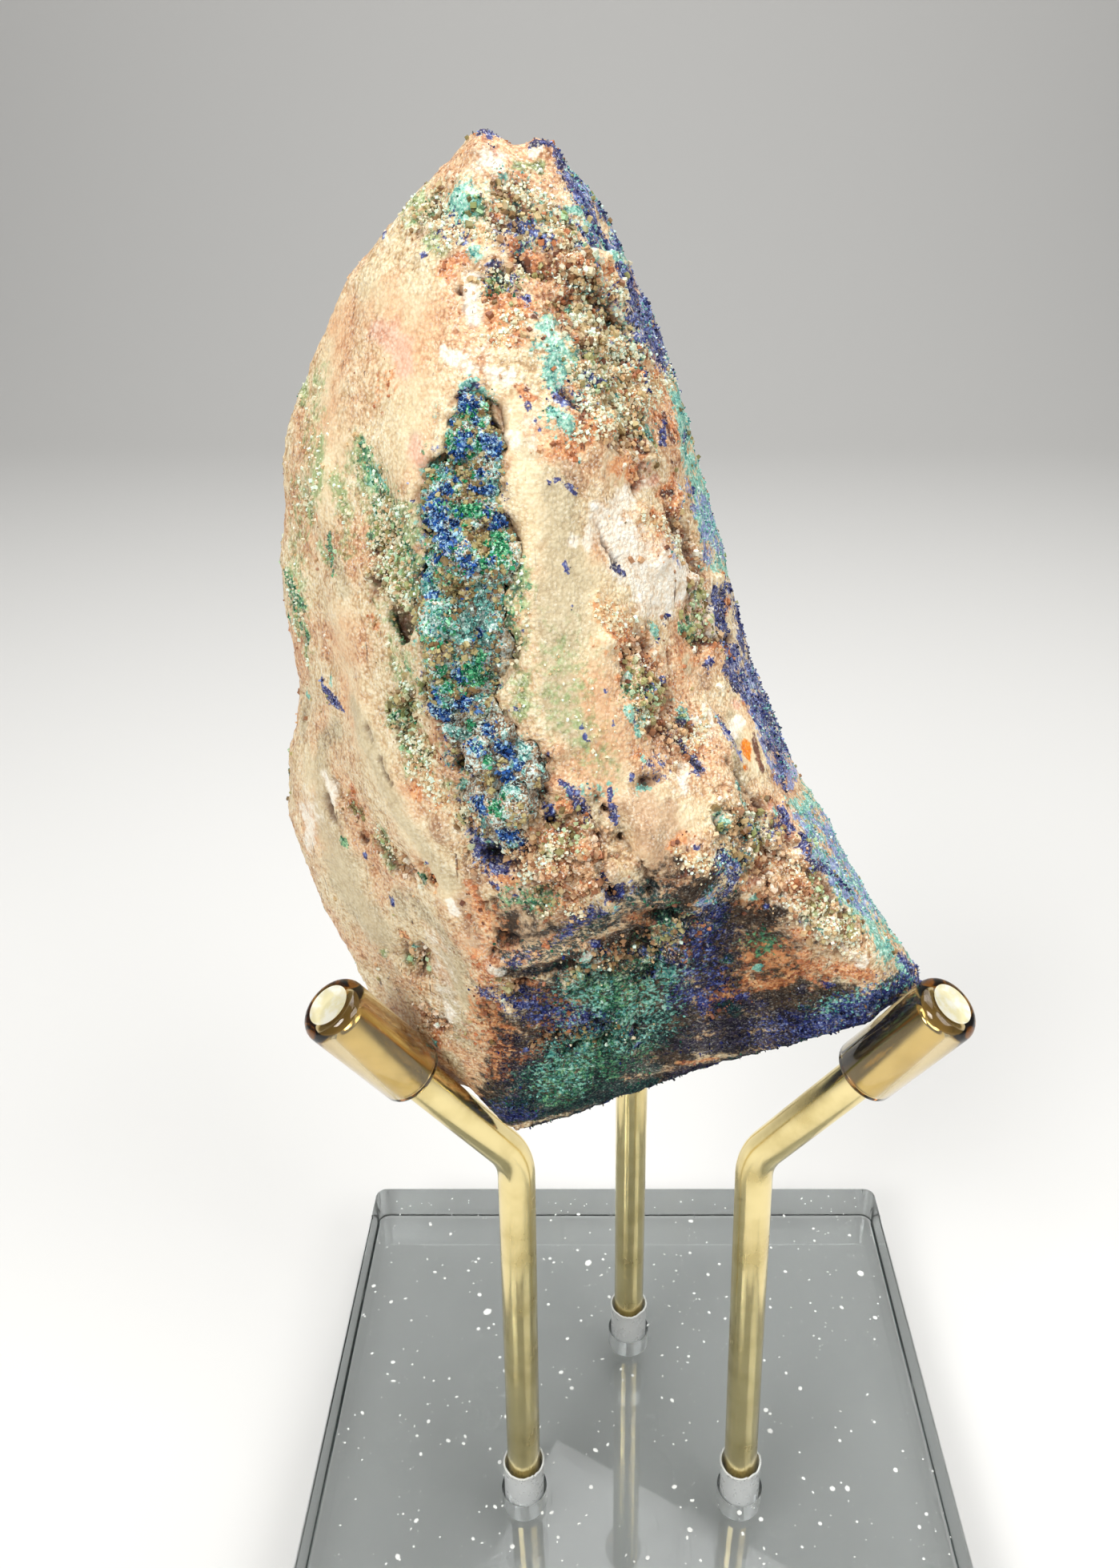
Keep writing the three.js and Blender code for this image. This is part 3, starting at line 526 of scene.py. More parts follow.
PAINTS["rose"] = [
    [(618, 188, 8), (628, 192, 6)], (625, 262, 5), (560, 345, 8), [(800, 582, 7), (812, 580, 7)],
    [(790, 606, 7), (800, 600, 8), (820, 598, 8)], [(745, 342, 6), (760, 358, 6)],
    [(470, 410, 12), (500, 430, 16), (505, 460, 14)], [(520, 560, 14), (530, 590, 10)], (630, 1320, 8),
    (965, 1008, 6), (866, 1052, 7), (920, 882, 6), (1098, 1128, 5), [(980, 1052, 5), (990, 1015, 5)],
    [(945, 1100, 8), (930, 1110, 8)], (700, 1110, 10),
]
PAINTS["white"] = [
    [(606, 196, 9), (618, 206, 9), (628, 212, 6)], [(664, 188, 6), (672, 184, 5)],
    [(590, 345, 10), (586, 370, 10), (592, 395, 9)], [(612, 462, 8), (622, 476, 8), (640, 468, 8)],
    [(748, 642, 16), (766, 665, 26), (790, 690, 26)], [(770, 640, 14), (784, 622, 11)],
    [(775, 705, 20), (805, 715, 28), (835, 715, 28), (862, 712, 20)], [(808, 742, 24), (834, 752, 22)],
    (735, 680, 10), (856, 738, 16), [(886, 755, 12), (895, 770, 12), (890, 785, 10)], (716, 680, 9),
    (735, 665, 6), [(405, 968, 8), (412, 985, 9), (415, 1003, 7)],
    [(378, 1012, 9), (388, 1030, 11), (384, 1055, 11)], [(560, 1125, 5), (565, 1140, 6)],
    [(612, 1210, 7), (625, 1215, 8)], [(558, 1255, 8), (562, 1272, 6)], [(735, 1200, 9), (752, 1202, 7)],
    [(880, 885, 6), (890, 905, 7)], (872, 925, 6), [(915, 915, 8), (925, 900, 6)],
    [(980, 1130, 6), (995, 1142, 7), (1010, 1155, 6)], [(1040, 1175, 7), (1060, 1190, 6), (1080, 1205, 5)],
    [(850, 965, 8), (860, 985, 8)], (620, 925, 4), (658, 1250, 4), [(990, 950, 6), (995, 970, 6)],
    [(555, 440, 6), (595, 462, 7)],
]
PAINTS["olive"] = [
    [(510, 255, 12), (525, 240, 10), (520, 268, 10)], [(535, 295, 10), (555, 310, 8)], (480, 285, 8),
    [(650, 205, 8), (675, 212, 8)], (655, 335, 8), [(380, 470, 8), (378, 500, 8)],
    [(400, 560, 12), (395, 600, 14), (385, 640, 12)], [(420, 600, 12), (430, 640, 12)],
    [(445, 555, 10), (462, 590, 14), (480, 620, 14)], [(470, 650, 16), (495, 640, 12), (515, 640, 10)],
    [(475, 680, 16), (500, 670, 16), (520, 665, 8)], [(480, 710, 14), (505, 710, 16), (525, 700, 8)],
    [(490, 740, 14), (515, 740, 12)], [(360, 720, 12), (372, 750, 14), (370, 785, 12)],
    [(400, 680, 10), (410, 700, 8)], [(380, 810, 10), (385, 830, 8)], [(500, 830, 10), (505, 860, 12)],
    [(495, 895, 10), (520, 880, 8)], [(500, 925, 8), (515, 930, 10), (525, 955, 12), (530, 975, 10)],
    [(480, 1040, 8), (475, 1060, 8), (485, 1085, 8)], [(645, 690, 6), (650, 730, 6)],
    [(655, 850, 8), (650, 895, 8)], (560, 980, 8), [(665, 1125, 8), (690, 1140, 6)], (510, 1200, 8),
    (480, 1190, 6), (570, 1370, 5),
]
PAINTS["sugar"] = [
    [(540, 250, 12), (560, 290, 12), (600, 290, 12)], [(640, 235, 14), (680, 245, 12)], (620, 345, 14),
    [(700, 290, 12), (710, 310, 10)], [(700, 350, 8), (740, 340, 10)], [(760, 350, 10), (780, 370, 10)],
    [(720, 400, 12), (760, 430, 16), (800, 450, 14)], [(720, 470, 12), (780, 470, 12)],
    [(730, 500, 14), (750, 520, 16), (790, 500, 16), (820, 490, 14), (835, 470, 10)],
    [(720, 545, 10), (745, 540, 10)], (800, 525, 10), [(640, 400, 10), (620, 430, 10)],
    [(800, 650, 8), (830, 660, 12), (850, 690, 10)], [(750, 760, 14), (780, 780, 14)], (880, 740, 8),
    [(480, 690, 18), (500, 740, 16)], (480, 640, 12), [(520, 940, 14), (530, 980, 12), (550, 1000, 12)],
    [(575, 1020, 12), (590, 1000, 8)], (480, 1060, 10), [(880, 900, 14), (870, 930, 12)],
    [(800, 880, 12), (800, 910, 10)], (840, 960, 8), [(1000, 1130, 14), (1040, 1160, 16), (1070, 1190, 12)],
    (990, 1090, 10), [(700, 1050, 14), (650, 1100, 10)], [(880, 1080, 14), (850, 1070, 10)], (950, 1030, 8),
    [(640, 1020, 16), (640, 1050, 16)], (720, 1140, 12),
]
PAINTS["tan"] = [
    [(800, 1010, 26), (830, 1040, 30), (850, 1080, 26)], (690, 1216, 11), (650, 1226, 9), (735, 1202, 11),
    (772, 1214, 7), [(625, 1300, 9), (622, 1330, 9)], [(785, 1006, 14), (810, 1036, 18), (838, 1076, 15)],
    (840, 1010, 10), [(650, 1126, 22), (690, 1096, 26)],
    [(620, 1150, 18), (660, 1170, 22), (710, 1150, 24)], (750, 1042, 12),
    [(668, 1030, 10), (672, 1075, 12)], [(600, 1090, 12), (580, 1130, 14), (596, 1180, 14)],
    (706, 1008, 14), (760, 1090, 14), (560, 945, 10), (548, 1036, 12), (515, 640, 8), (790, 600, 12),
    (880, 850, 12), [(940, 1160, 30), (990, 1180, 26)], [(700, 560, 12), (720, 600, 12)], (560, 325, 14),
]
PAINTS["ash"] = [
    [(692, 600, 22), (704, 660, 30), (702, 740, 34), (700, 800, 30)], (660, 560, 14),
    [(400, 960, 26), (410, 1030, 34), (430, 1100, 36), (470, 1160, 30)], (380, 900, 18),
    [(560, 1200, 20), (586, 1256, 16)], (500, 1130, 20),
    [(440, 880, 14), (460, 930, 18), (480, 980, 18), (500, 1020, 16), (530, 1060, 14), (560, 1100, 16)],
    [(520, 1130, 16), (550, 1160, 18), (570, 1200, 14), (590, 1230, 12)],
    [(560, 1240, 14), (580, 1300, 14)], [(420, 1100, 18), (450, 1150, 16)], [(420, 700, 8), (430, 740, 10)],
    (520, 550, 12), [(560, 1320, 12), (575, 1345, 8)], [(690, 780, 20), (700, 860, 24), (720, 920, 20)],
    [(740, 1000, 10), (750, 1030, 10)], [(420, 910, 16), (400, 930, 14)], (860, 830, 14),
    [(915, 900, 14), (925, 980, 14)], (950, 1180, 20),
]
PAINTS["smooth"] = [
    [(390, 960, 26), (400, 1030, 30), (430, 1100, 32), (470, 1160, 26)], [(560, 1200, 20), (580, 1250, 16)],
    [(470, 360, 30), (520, 400, 36), (500, 450, 40), (520, 500, 40), (510, 560, 34), (525, 590, 20)],
    [(420, 400, 26), (410, 470, 30), (410, 540, 30), (400, 620, 28), (420, 560, 30)],
    [(640, 520, 24), (655, 570, 24), (680, 640, 34), (690, 700, 40), (700, 760, 40)],
    [(700, 820, 40), (720, 880, 36), (745, 940, 30), (770, 990, 20), (730, 700, 30)],
    [(440, 870, 26), (450, 920, 28), (480, 980, 26), (510, 1040, 22), (560, 1120, 22)],
    [(425, 780, 30), (430, 830, 26)], (590, 1180, 14), [(820, 1010, 24), (850, 1030, 24), (880, 1010, 12)],
    [(930, 910, 22), (940, 950, 20)], (770, 590, 18), [(640, 1160, 26), (680, 1185, 20)],
    [(800, 1050, 14), (825, 1080, 10)], (860, 830, 16), (950, 1070, 14), (960, 1190, 30),
]
PAINTS["crumbly"] = [
    [(600, 960, 18), (640, 1010, 34), (650, 1060, 34), (700, 1060, 40), (740, 1060, 24)],
    [(690, 1100, 36), (740, 1110, 26), (600, 1010, 24)], [(640, 260, 30), (700, 280, 30)],
    [(720, 330, 34), (740, 400, 40), (760, 460, 40), (780, 530, 36)], (620, 350, 24),
    [(840, 640, 14), (870, 700, 14), (880, 780, 26)], [(800, 830, 34), (830, 900, 30), (860, 930, 20)],
    [(920, 1040, 40), (960, 1080, 40), (1010, 1120, 30), (1060, 1170, 26)], (540, 260, 24), (600, 1080, 18),
    [(500, 1080, 20), (480, 1060, 20)], (440, 1010, 16), (520, 1200, 20), (540, 1270, 22), (640, 1240, 26),
    [(560, 870, 26), (600, 920, 26), (640, 950, 24)], [(500, 880, 18), (520, 940, 18)],
    [(720, 1220, 30), (800, 1200, 36), (850, 1150, 30)], [(480, 690, 26), (500, 740, 22)],
    [(700, 1300, 26), (780, 1290, 30)],
]
# Pits: sunk in the relief, and darkened in the colour as painted shade.
PAINTS["shaded_pit"] = [
    [(466, 722, 6), (464, 736, 6)], [(492, 770, 8), (506, 778, 10), (508, 795, 8)],
    [(560, 750, 6), (572, 762, 5)], [(592, 785, 6), (596, 797, 4)], [(406, 1000, 6), (413, 1018, 5)],
    [(614, 1066, 9), (626, 1072, 6)], (582, 955, 7), (641, 1176, 7), (628, 1172, 4), (617, 1190, 5),
    (618, 1166, 3), (622, 1150, 2), (605, 1128, 3), (616, 1126, 3), (540, 1098, 4), (455, 1048, 4),
    (488, 1075, 4), (523, 1206, 5), [(810, 975, 7), (822, 972, 4)], (600, 1000, 5), (592, 1046, 4),
    (412, 696, 3), (1052, 1142, 5), (968, 1030, 5), (765, 1118, 5), (810, 1118, 5), (590, 992, 4),
    (690, 1022, 4), (607, 576, 4), (804, 860, 5), (676, 978, 4), (560, 905, 3), (732, 1098, 3),
]
PAINTS["ball"] = [
    (575, 945, 11), (612, 976, 13), (646, 1009, 8), (706, 1007, 15), (548, 1036, 11), (576, 992, 11),
    (672, 968, 9), (550, 815, 12), (577, 808, 8), (700, 940, 10), (735, 1060, 14), (760, 1085, 12),
    (640, 300, 10), (716, 360, 10), (938, 1066, 12), (962, 1052, 9), (895, 760, 12), (868, 726, 10),
    (800, 640, 12), (820, 700, 12), (760, 800, 11), (850, 900, 12), (905, 1010, 12), (1000, 1110, 12),
    (1040, 1150, 10), (690, 1095, 14), (770, 430, 12), (760, 530, 14), (800, 500, 12), (700, 300, 12),
    (596, 932, 8), (630, 920, 9),
]
PAINTS["amber"] = [[(932, 928, 7), (934, 945, 6)], (930, 960, 4)]
# Snapped edges: carved as grooves, and darkened in the colour as painted shade.
PAINTS["snap"] = [
    [(566, 352, 2), (575, 372, 2), (586, 400, 2), (597, 430, 2)],
    [(640, 316, 3), (672, 340, 3), (712, 352, 4), (748, 382, 4), (780, 412, 3)],
    [(747, 653, 2), (754, 678, 2), (772, 703, 2)], [(904, 942, 2), (926, 981, 3), (954, 1010, 4)],
    [(772, 1040, 2), (795, 1072, 2), (818, 1106, 3)], [(836, 817, 2), (838, 846, 2)],
    [(843, 921, 3), (858, 940, 3), (872, 958, 3)], [(870, 798, 3), (915, 800, 3)],
    [(932, 1044, 3), (945, 1070, 3), (958, 1094, 2)], [(470, 690, 2), (462, 735, 2)],
    [(790, 612, 2), (812, 560, 2)], [(632, 930, 2), (700, 960, 2)], [(455, 905, 2), (490, 985, 2)],
    [(700, 480, 3), (735, 520, 3)], [(770, 1035, 2), (745, 990, 2)],
]

# %% [markdown]
# Round the strokes lies a thinner dusting of the same minerals. These wider strokes are laid at
# part strength, so that the noise leaves only scattered grains of them. The lower facet has all
# of them mixed at once, so its washes are denser.

# %% Washes
WASH_STRENGTH = 0.44
DENSE_STRENGTH = 0.54
WASHES = {
    "iron": [
        [(640, 230, 30), (690, 300, 40), (720, 360, 50), (750, 430, 56), (790, 510, 46)], (620, 400, 26),
        [(840, 620, 30), (830, 680, 30)], [(780, 800, 36), (830, 840, 34), (880, 810, 20)],
        [(690, 1060, 40), (720, 1110, 36)], [(940, 1110, 30), (1010, 1120, 30), (1050, 1170, 20)],
        [(600, 1130, 26), (620, 1170, 30)], (440, 1000, 22), (560, 340, 20), (880, 930, 20), (470, 780, 16),
        [(1000, 1190, 34), (940, 1210, 30)], (690, 560, 22), (480, 480, 26),
    ],
    "azurite": [
        [(600, 940, 34), (640, 950, 34), (610, 1010, 26), (620, 1070, 30)], (710, 495, 24), (740, 480, 18),
        (640, 290, 24), (630, 350, 22), (560, 280, 20), (770, 370, 20), (800, 430, 26),
        [(930, 860, 26), (960, 910, 20), (975, 970, 18)], (905, 1080, 24), (960, 1040, 22), (720, 1000, 16),
        (765, 1010, 12), [(1050, 1270, 40), (960, 1290, 36)], [(880, 1240, 40), (860, 1160, 34)],
        [(640, 1250, 34), (740, 1280, 30)], (620, 1390, 26), (770, 1115, 18),
        [(530, 640, 8), (532, 690, 8)], [(632, 600, 6), (634, 650, 6)], (820, 960, 20), (855, 900, 16),
        (840, 1190, 26),
    ],
    "malachite": [
        (580, 260, 26), (620, 350, 20), [(470, 600, 24), (490, 660, 26), (500, 730, 24)], (365, 750, 20),
        (410, 690, 12), (630, 1010, 24), [(640, 700, 12), (645, 770, 12)], (860, 780, 18), (800, 870, 22),
        [(500, 900, 16), (520, 950, 16)], (590, 920, 20),
        [(830, 1160, 30), (800, 1220, 34), (740, 1240, 34)], [(700, 1350, 40), (780, 1320, 40)],
        (950, 1180, 24), (480, 1060, 14), (540, 250, 20), (532, 560, 5), (636, 700, 8),
    ],
    "turquoise": [
        [(740, 380, 40), (780, 440, 40), (740, 500, 34), (800, 520, 30)], [(640, 240, 34), (700, 280, 30)],
        (580, 255, 26), (695, 430, 26), (705, 530, 20), [(770, 490, 22), (800, 530, 18)], (620, 345, 16),
        (655, 300, 16), [(725, 260, 18), (755, 305, 14)], (800, 890, 20), (850, 890, 16),
        [(600, 920, 30), (650, 945, 24)], (470, 600, 16), (900, 1075, 18), (940, 1035, 16),
        [(960, 905, 18), (975, 940, 14)], [(1040, 1270, 30), (1100, 1235, 16)],
        [(790, 1300, 44), (830, 1220, 36)], [(740, 1210, 30), (700, 1350, 40)], (905, 1030, 14),
        [(715, 985, 12), (760, 990, 10)], (1020, 1150, 14), (540, 760, 12), (615, 820, 10),
    ],
    "olive": [
        [(395, 480, 26), (385, 560, 30), (375, 640, 30), (370, 720, 26), (380, 800, 22)],
        [(450, 580, 30), (480, 640, 36), (490, 720, 36), (500, 800, 30), (505, 880, 30), (525, 960, 26)],
        (520, 260, 30), [(700, 820, 36), (720, 900, 34), (760, 960, 20)], (480, 1060, 26),
        [(650, 720, 18), (650, 800, 18)], (650, 880, 20), (430, 680, 26), (670, 1130, 24),
    ],
    "white": [
        [(760, 650, 30), (820, 720, 40), (880, 770, 24)], (650, 540, 26), (390, 1010, 30), (610, 200, 22),
        [(550, 1180, 24), (560, 1270, 20)], (1030, 1160, 24), (880, 910, 24), (600, 450, 20),
        (850, 980, 20),
    ],
}
DENSE_WASHES = {
    "deep_teal": [
        [(620, 1392, 24), (660, 1370, 36), (700, 1345, 46), (760, 1320, 54), (810, 1290, 50)],
        [(700, 1240, 34), (760, 1230, 44), (820, 1210, 40), (860, 1160, 34), (900, 1120, 26)],
        [(640, 1196, 22), (700, 1180, 26), (760, 1150, 28), (820, 1118, 24)],
        [(630, 1016, 14), (646, 1040, 16), (614, 1066, 12)],
    ],
    "azurite": [
        [(680, 1266, 22), (740, 1280, 26)], [(612, 1392, 22), (650, 1390, 22)],
        [(640, 1200, 12), (690, 1176, 12), (750, 1136, 12)], (850, 1245, 20),
        [(880, 1190, 22), (892, 1140, 18)], (908, 1112, 12), (800, 1190, 14),
        [(1010, 1284, 30), (1050, 1268, 34), (1100, 1248, 28), (1135, 1226, 12)],
        [(900, 1076, 20), (930, 1084, 16)], [(600, 940, 22), (640, 950, 24)],
        [(610, 1010, 16), (620, 1070, 22)], (770, 1114, 14), (708, 498, 12),
    ],
    "malachite": [
        [(720, 1330, 40), (700, 1370, 26), (780, 1250, 36), (740, 1220, 26)], (840, 1160, 30),
        (630, 1000, 16), [(640, 1120, 20), (690, 1120, 20)], [(632, 690, 8), (636, 740, 8), (640, 800, 8)],
        [(458, 575, 16), (474, 612, 20), (494, 660, 24), (508, 720, 24)], [(362, 740, 16), (376, 780, 16)],
    ],
    "olive": [
        [(460, 590, 22), (480, 640, 30), (500, 700, 32), (510, 750, 24)], [(500, 820, 22), (506, 880, 24)],
        (518, 940, 24), [(640, 700, 12), (644, 780, 12), (648, 860, 12)], [(372, 720, 22), (378, 790, 20)],
    ],
    "violet_dark": [
        [(850, 1300, 34), (920, 1290, 40), (1000, 1280, 36), (1060, 1262, 26)],
        [(870, 1230, 40), (900, 1170, 30)], [(640, 1300, 22), (640, 1380, 22), (700, 1290, 26)],
        (1110, 1244, 14),
    ],
    "turquoise": [
        [(1040, 1262, 26), (1090, 1250, 22), (1130, 1226, 12)], [(900, 1076, 20), (935, 1080, 16)],
        [(1080, 1150, 14), (1106, 1186, 14)], (570, 252, 18), [(690, 424, 28), (704, 456, 22)],
        (650, 945, 18),
    ],
    "soil_and_shade": [
        [(600, 950, 24), (640, 1000, 26), (640, 1060, 26)],
        [(640, 1150, 34), (700, 1160, 34), (750, 1150, 34)], [(800, 1120, 30), (840, 1090, 24)],
        (770, 1040, 12), (920, 1040, 16),
    ],
    "iron": [
        [(620, 1290, 24), (624, 1340, 18)], (690, 1280, 26), [(960, 1200, 40), (1020, 1212, 30)],
        [(602, 1196, 18), (608, 1240, 22), (600, 1300, 20)], [(660, 1236, 20), (706, 1250, 18)],
        [(650, 1320, 16), (700, 1300, 14)], [(860, 1190, 18), (880, 1140, 14)], (1070, 1214, 16),
        (800, 1150, 26), (700, 1120, 30), (900, 1250, 30),
    ],
}
for table in (PAINTS, WASHES, DENSE_WASHES):
    print("strokes:", sum(len(strokes) for strokes in table.values()))

# %% Dabs
DAB_STEP = 0.6
DAB_SPREAD = 0.7
DAB_REACH = 2.4
SPOT = 7
SPOT_EXTRA = 0.35


def dabs_along(stroke):
    """The stroke's own dabs, and more between them so that it has no gaps."""
    if isinstance(stroke, tuple):
        stroke = [stroke]
    yield stroke[0]
    for (x0, y0, r0), (x1, y1, r1) in zip(stroke, stroke[1:]):
        steps = math.ceil(math.hypot(x1 - x0, y1 - y0) / (DAB_STEP * min(r0, r1)))
        for step in range(1, steps + 1):
            t = step / steps
            yield x0 + (x1 - x0) * t, y0 + (y1 - y0) * t, r0 + (r1 - r0) * t


def in_picture(points):
    """Where points are in the picture: across and down."""
    across, up, away = ((points - np.array(CAMERA_PLACE)) @ np.array(CAMERA_TURN.to_3x3())).T
    return CENTRE_X - FOCUS * across / away, CENTRE_Y + FOCUS * up / away


def laid(strokes, surface, points):
    """How much of a paint each point gets, and how many dabs missed the surface."""
    amount = np.zeros(len(points))
    seen_x, seen_y = in_picture(points)
    missed = 0
    for stroke in strokes:
        for x, y, radius in dabs_along(stroke):
            place, distance = seen(surface, x, y)
            if place is None:
                missed += 1
                continue
            reach = DAB_REACH * radius
            close = np.flatnonzero((abs(seen_x - x) < reach) & (abs(seen_y - y) < reach))
            near = np.linalg.norm(points[close] - np.array(place), axis=1)
            near *= FOCUS / (radius * distance)
            most = 1 + SPOT_EXTRA if radius < SPOT else 1
            amount[close] = np.maximum(amount[close], most * np.exp(-DAB_SPREAD * near ** 2))
    return amount, missed

# %% [markdown]
# ## Where the arms run
#
# Three equal arms are set round the base. Each is worked out in its own frame, rising and then
# bending over, and a matrix turns and leans it into place. The stone needs to know where they are,
# because nothing that grows on it may cut into them.

# %% Where the arms run
FOOT_CIRCLE = 17.2
STAND_AXIS_Y = -1.85
BASE_THICKNESS = 12.7
BEND_HEIGHT = 60.5
ARM_ELEVATION = math.radians(55.7)
ARM_LENGTH = 35.2
CAP_RADIUS = 3.5
# Each arm: its direction round the base and its lean, in degrees
ARMS = {"left": (210, 0.76), "right": (330, -1.23), "back": (90, 0)}


def arm_frame(side):
    """Place of an arm's own frame: its rod rises along +Z and bends over toward +X."""
    azimuth, lean = (math.radians(angle) for angle in ARMS[side])
    foot = Vector((math.cos(azimuth), math.sin(azimuth), 0)) * FOOT_CIRCLE
    foot += Vector((0, STAND_AXIS_Y, BASE_THICKNESS))
    turn = Matrix.Rotation(lean, 4, "Y") @ Matrix.Rotation(azimuth, 4, "Z")
    return Matrix.Translation(foot * MM) @ turn


ARM_DIRECTION = Vector((math.cos(ARM_ELEVATION), 0, math.sin(ARM_ELEVATION)))
ARM_CORNER = Vector((0, 0, BEND_HEIGHT))


def arm_gap(points):
    """Distance in millimetres from each point to the nearest cap's or rod's outside."""
    nearest = np.full(len(points), 1e3)
    for side in ARMS:
        place = arm_frame(side)
        start = np.array(place @ (ARM_CORNER * MM))
        along = np.array(place.to_3x3() @ ARM_DIRECTION)
        reach = np.clip((points - start) @ along, 0, ARM_LENGTH * MM)
        axis = start + reach[:, None] * along
        nearest = np.minimum(nearest, np.linalg.norm(points - axis, axis=1) / MM - CAP_RADIUS)
    return nearest

# %% [markdown]
# ## The stone: lumps and an even skin
#
# The solid of the stone has its main form in a few thousand flat faces. Where the stone crumbles,
# small broken blocks are set into it first, each a cube with its corners pushed about. A voxel
# remesh then lays one even skin over everything, fine enough to carry grit and small ledges, and
# a little smoothing takes the corners off. Sculpting by hand would also do, but a skin that is
# moved by rules is the same every time.

# %% Skin
def editable(mesh):
    """A mesh that operators can work on."""
    bm = bmesh.new()
    bm.from_mesh(mesh)
    return bm


def solid_of(node_name):
    """A node's solid as one closed mesh."""
    bm = editable(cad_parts[node_name].data)
    bmesh.ops.remove_doubles(bm, verts=bm.verts, dist=0.001 * MM)
    return bm


def keep_modified(piece):
    """Makes what the modifiers do permanent."""
    graph = bpy.context.evaluated_depsgraph_get()
    piece.data = bpy.data.meshes.new_from_object(piece.evaluated_get(graph))
    piece.modifiers.clear()


def skin_over(bm, name, voxel, smoothing):
    """Object with an even, fine skin over the surface of a mesh."""
    mesh = bpy.data.meshes.new(name)
    bm.to_mesh(mesh)
    bm.free()
    piece = added(name, mesh)
    remesh = piece.modifiers.new("even_skin", "REMESH")
    remesh.mode = "VOXEL"
    remesh.voxel_size = voxel * MM
    keep_modified(piece)
    bm = editable(piece.data)
    for _ in range(smoothing):
        bmesh.ops.smooth_vert(bm, verts=bm.verts, factor=0.5,
                              use_axis_x=True, use_axis_y=True, use_axis_z=True)
    bm.to_mesh(piece.data)
    bm.free()
    print(name, "points:", len(piece.data.vertices))
    return piece


def surface_from(bm):
    """The faces of a mesh, ready for rays and for the nearest point."""
    surface = BVHTree.FromBMesh(bm)
    bm.free()
    return surface


def surface_of(piece):
    """The faces of a piece, ready for rays and for the nearest point."""
    return surface_from(editable(piece.data))


def points_of(mesh):
    """All points of a mesh, in metres."""
    flat = np.empty(len(mesh.vertices) * 3)
    mesh.vertices.foreach_get("co", flat)
    return flat.reshape(-1, 3)


def normals_of(mesh):
    """The outward direction at each point."""
    flat = np.empty(len(mesh.vertices) * 3, np.float32)
    mesh.vertex_normals.foreach_get("vector", flat)
    return flat.reshape(-1, 3)


def move_points(mesh, points):
    """Puts the mesh's points in new places."""
    mesh.vertices.foreach_set("co", points.ravel())
    mesh.update()
    mesh.shade_smooth()

# %% Lumps
def size_drawn(generator, sizes, power, count=None):
    """Sizes from the least to the most. The higher the power, the more of them are small."""
    least, most = sizes
    return least * (most / least) ** generator.random(count) ** power


LUMP_SIZES = (0.9, 2.7)
LUMP_POWER = 1.7
LUMP_STRETCH = (0.7, 1.25)
LUMP_CROWD = 0.0016
LUMP_SINK = 0.25
LUMP_SKEW = 0.24
LUMP_CLEARANCE = 1.6


def add_lump(bm, place, size, generator):
    """One small broken block."""
    made = bmesh.ops.create_cube(bm, size=size)["verts"]
    for vert in made:
        vert.co += Vector(generator.uniform(-1, 1, 3)) * LUMP_SKEW * size
    turn = Matrix.Rotation(generator.uniform(0, math.tau), 3, Vector(generator.normal(size=3)))
    bmesh.ops.scale(bm, verts=made, vec=Vector(generator.uniform(*LUMP_STRETCH, 3)))
    bmesh.ops.rotate(bm, verts=made, matrix=turn)
    bmesh.ops.translate(bm, verts=made, vec=place)


def add_lumps(bm, strokes, seed):
    """Broken blocks scattered over the rough strokes."""
    generator = np.random.default_rng(seed)
    surface = BVHTree.FromBMesh(bm)
    count = 0
    for stroke in strokes:
        for x, y, radius in dabs_along(stroke):
            for _ in range(generator.poisson(LUMP_CROWD * radius * radius)):
                reach, angle = radius * generator.random() ** 0.5, generator.uniform(0, math.tau)
                spot, _ = seen(surface, x + reach * math.cos(angle), y + reach * math.sin(angle))
                size = size_drawn(generator, LUMP_SIZES, LUMP_POWER)
                if spot is None or arm_gap(np.array([spot]))[0] < LUMP_CLEARANCE:
                    continue
                inward = (spot - CAMERA_PLACE).normalized() * LUMP_SINK * size * MM
                add_lump(bm, spot + inward, size * MM, generator)
                count += 1
    print("lumps:", count)


STONE_VOXEL = 0.465
bm = solid_of("rock")
add_lumps(bm, PAINTS["crumbly"], 5)
stone = skin_over(bm, "stone_skin", STONE_VOXEL, 2)
stone_surface = surface_of(stone)
stone_points = points_of(stone.data)

# %% Noise helpers
def noise_at(points, size, seed=0.0):
    """Smooth noise from -1 to 1 with blotches of one size in millimetres."""
    shift = Vector((seed * 17.3, seed * 5.9, seed * 31.1))
    return np.array([noise.noise(Vector(p) + shift) for p in points / (size * MM)])


def risen(value, low, high):
    """Smooth step from 0 at low to 1 at high."""
    t = np.clip((value - low) / (high - low), 0, 1)
    return t * t * (3 - 2 * t)


WARPS = ((2.6, 0.5), (0.9, 0.25))


def warped(points):
    """Points pushed about a little, so that no stroke has a round edge."""
    moved = points.copy()
    for size, push in WARPS:
        for axis in range(3):
            moved[:, axis] += push * MM * noise_at(points, size, 70 + axis + 10 * size)
    return moved

# %% Laying the paint
WASH_FILL = 1.3


def add_paint(name, amount):
    """Lays more of one paint on the stone."""
    paint[name] = np.maximum(paint[name], amount)


loose_points = warped(stone_points)
paint = {}
for name, strokes in PAINTS.items():
    paint[name], missed = laid(strokes, stone_surface, loose_points)
    for table, strength in ((WASHES, WASH_STRENGTH), (DENSE_WASHES, DENSE_STRENGTH)):
        if name in table:
            wash, _ = laid(table[name], stone_surface, loose_points)
            add_paint(name, strength * np.minimum(WASH_FILL * wash, 1))
    if missed:
        print(name, "dabs off the stone:", missed)

# %% [markdown]
# ## The stone: sides that the picture doesn't show
#
# The back, the right side and the underside are a guess. The coat that wraps round the right edge
# and over the lower face is taken to go on behind, thinning out in blotches on bare vein stone.

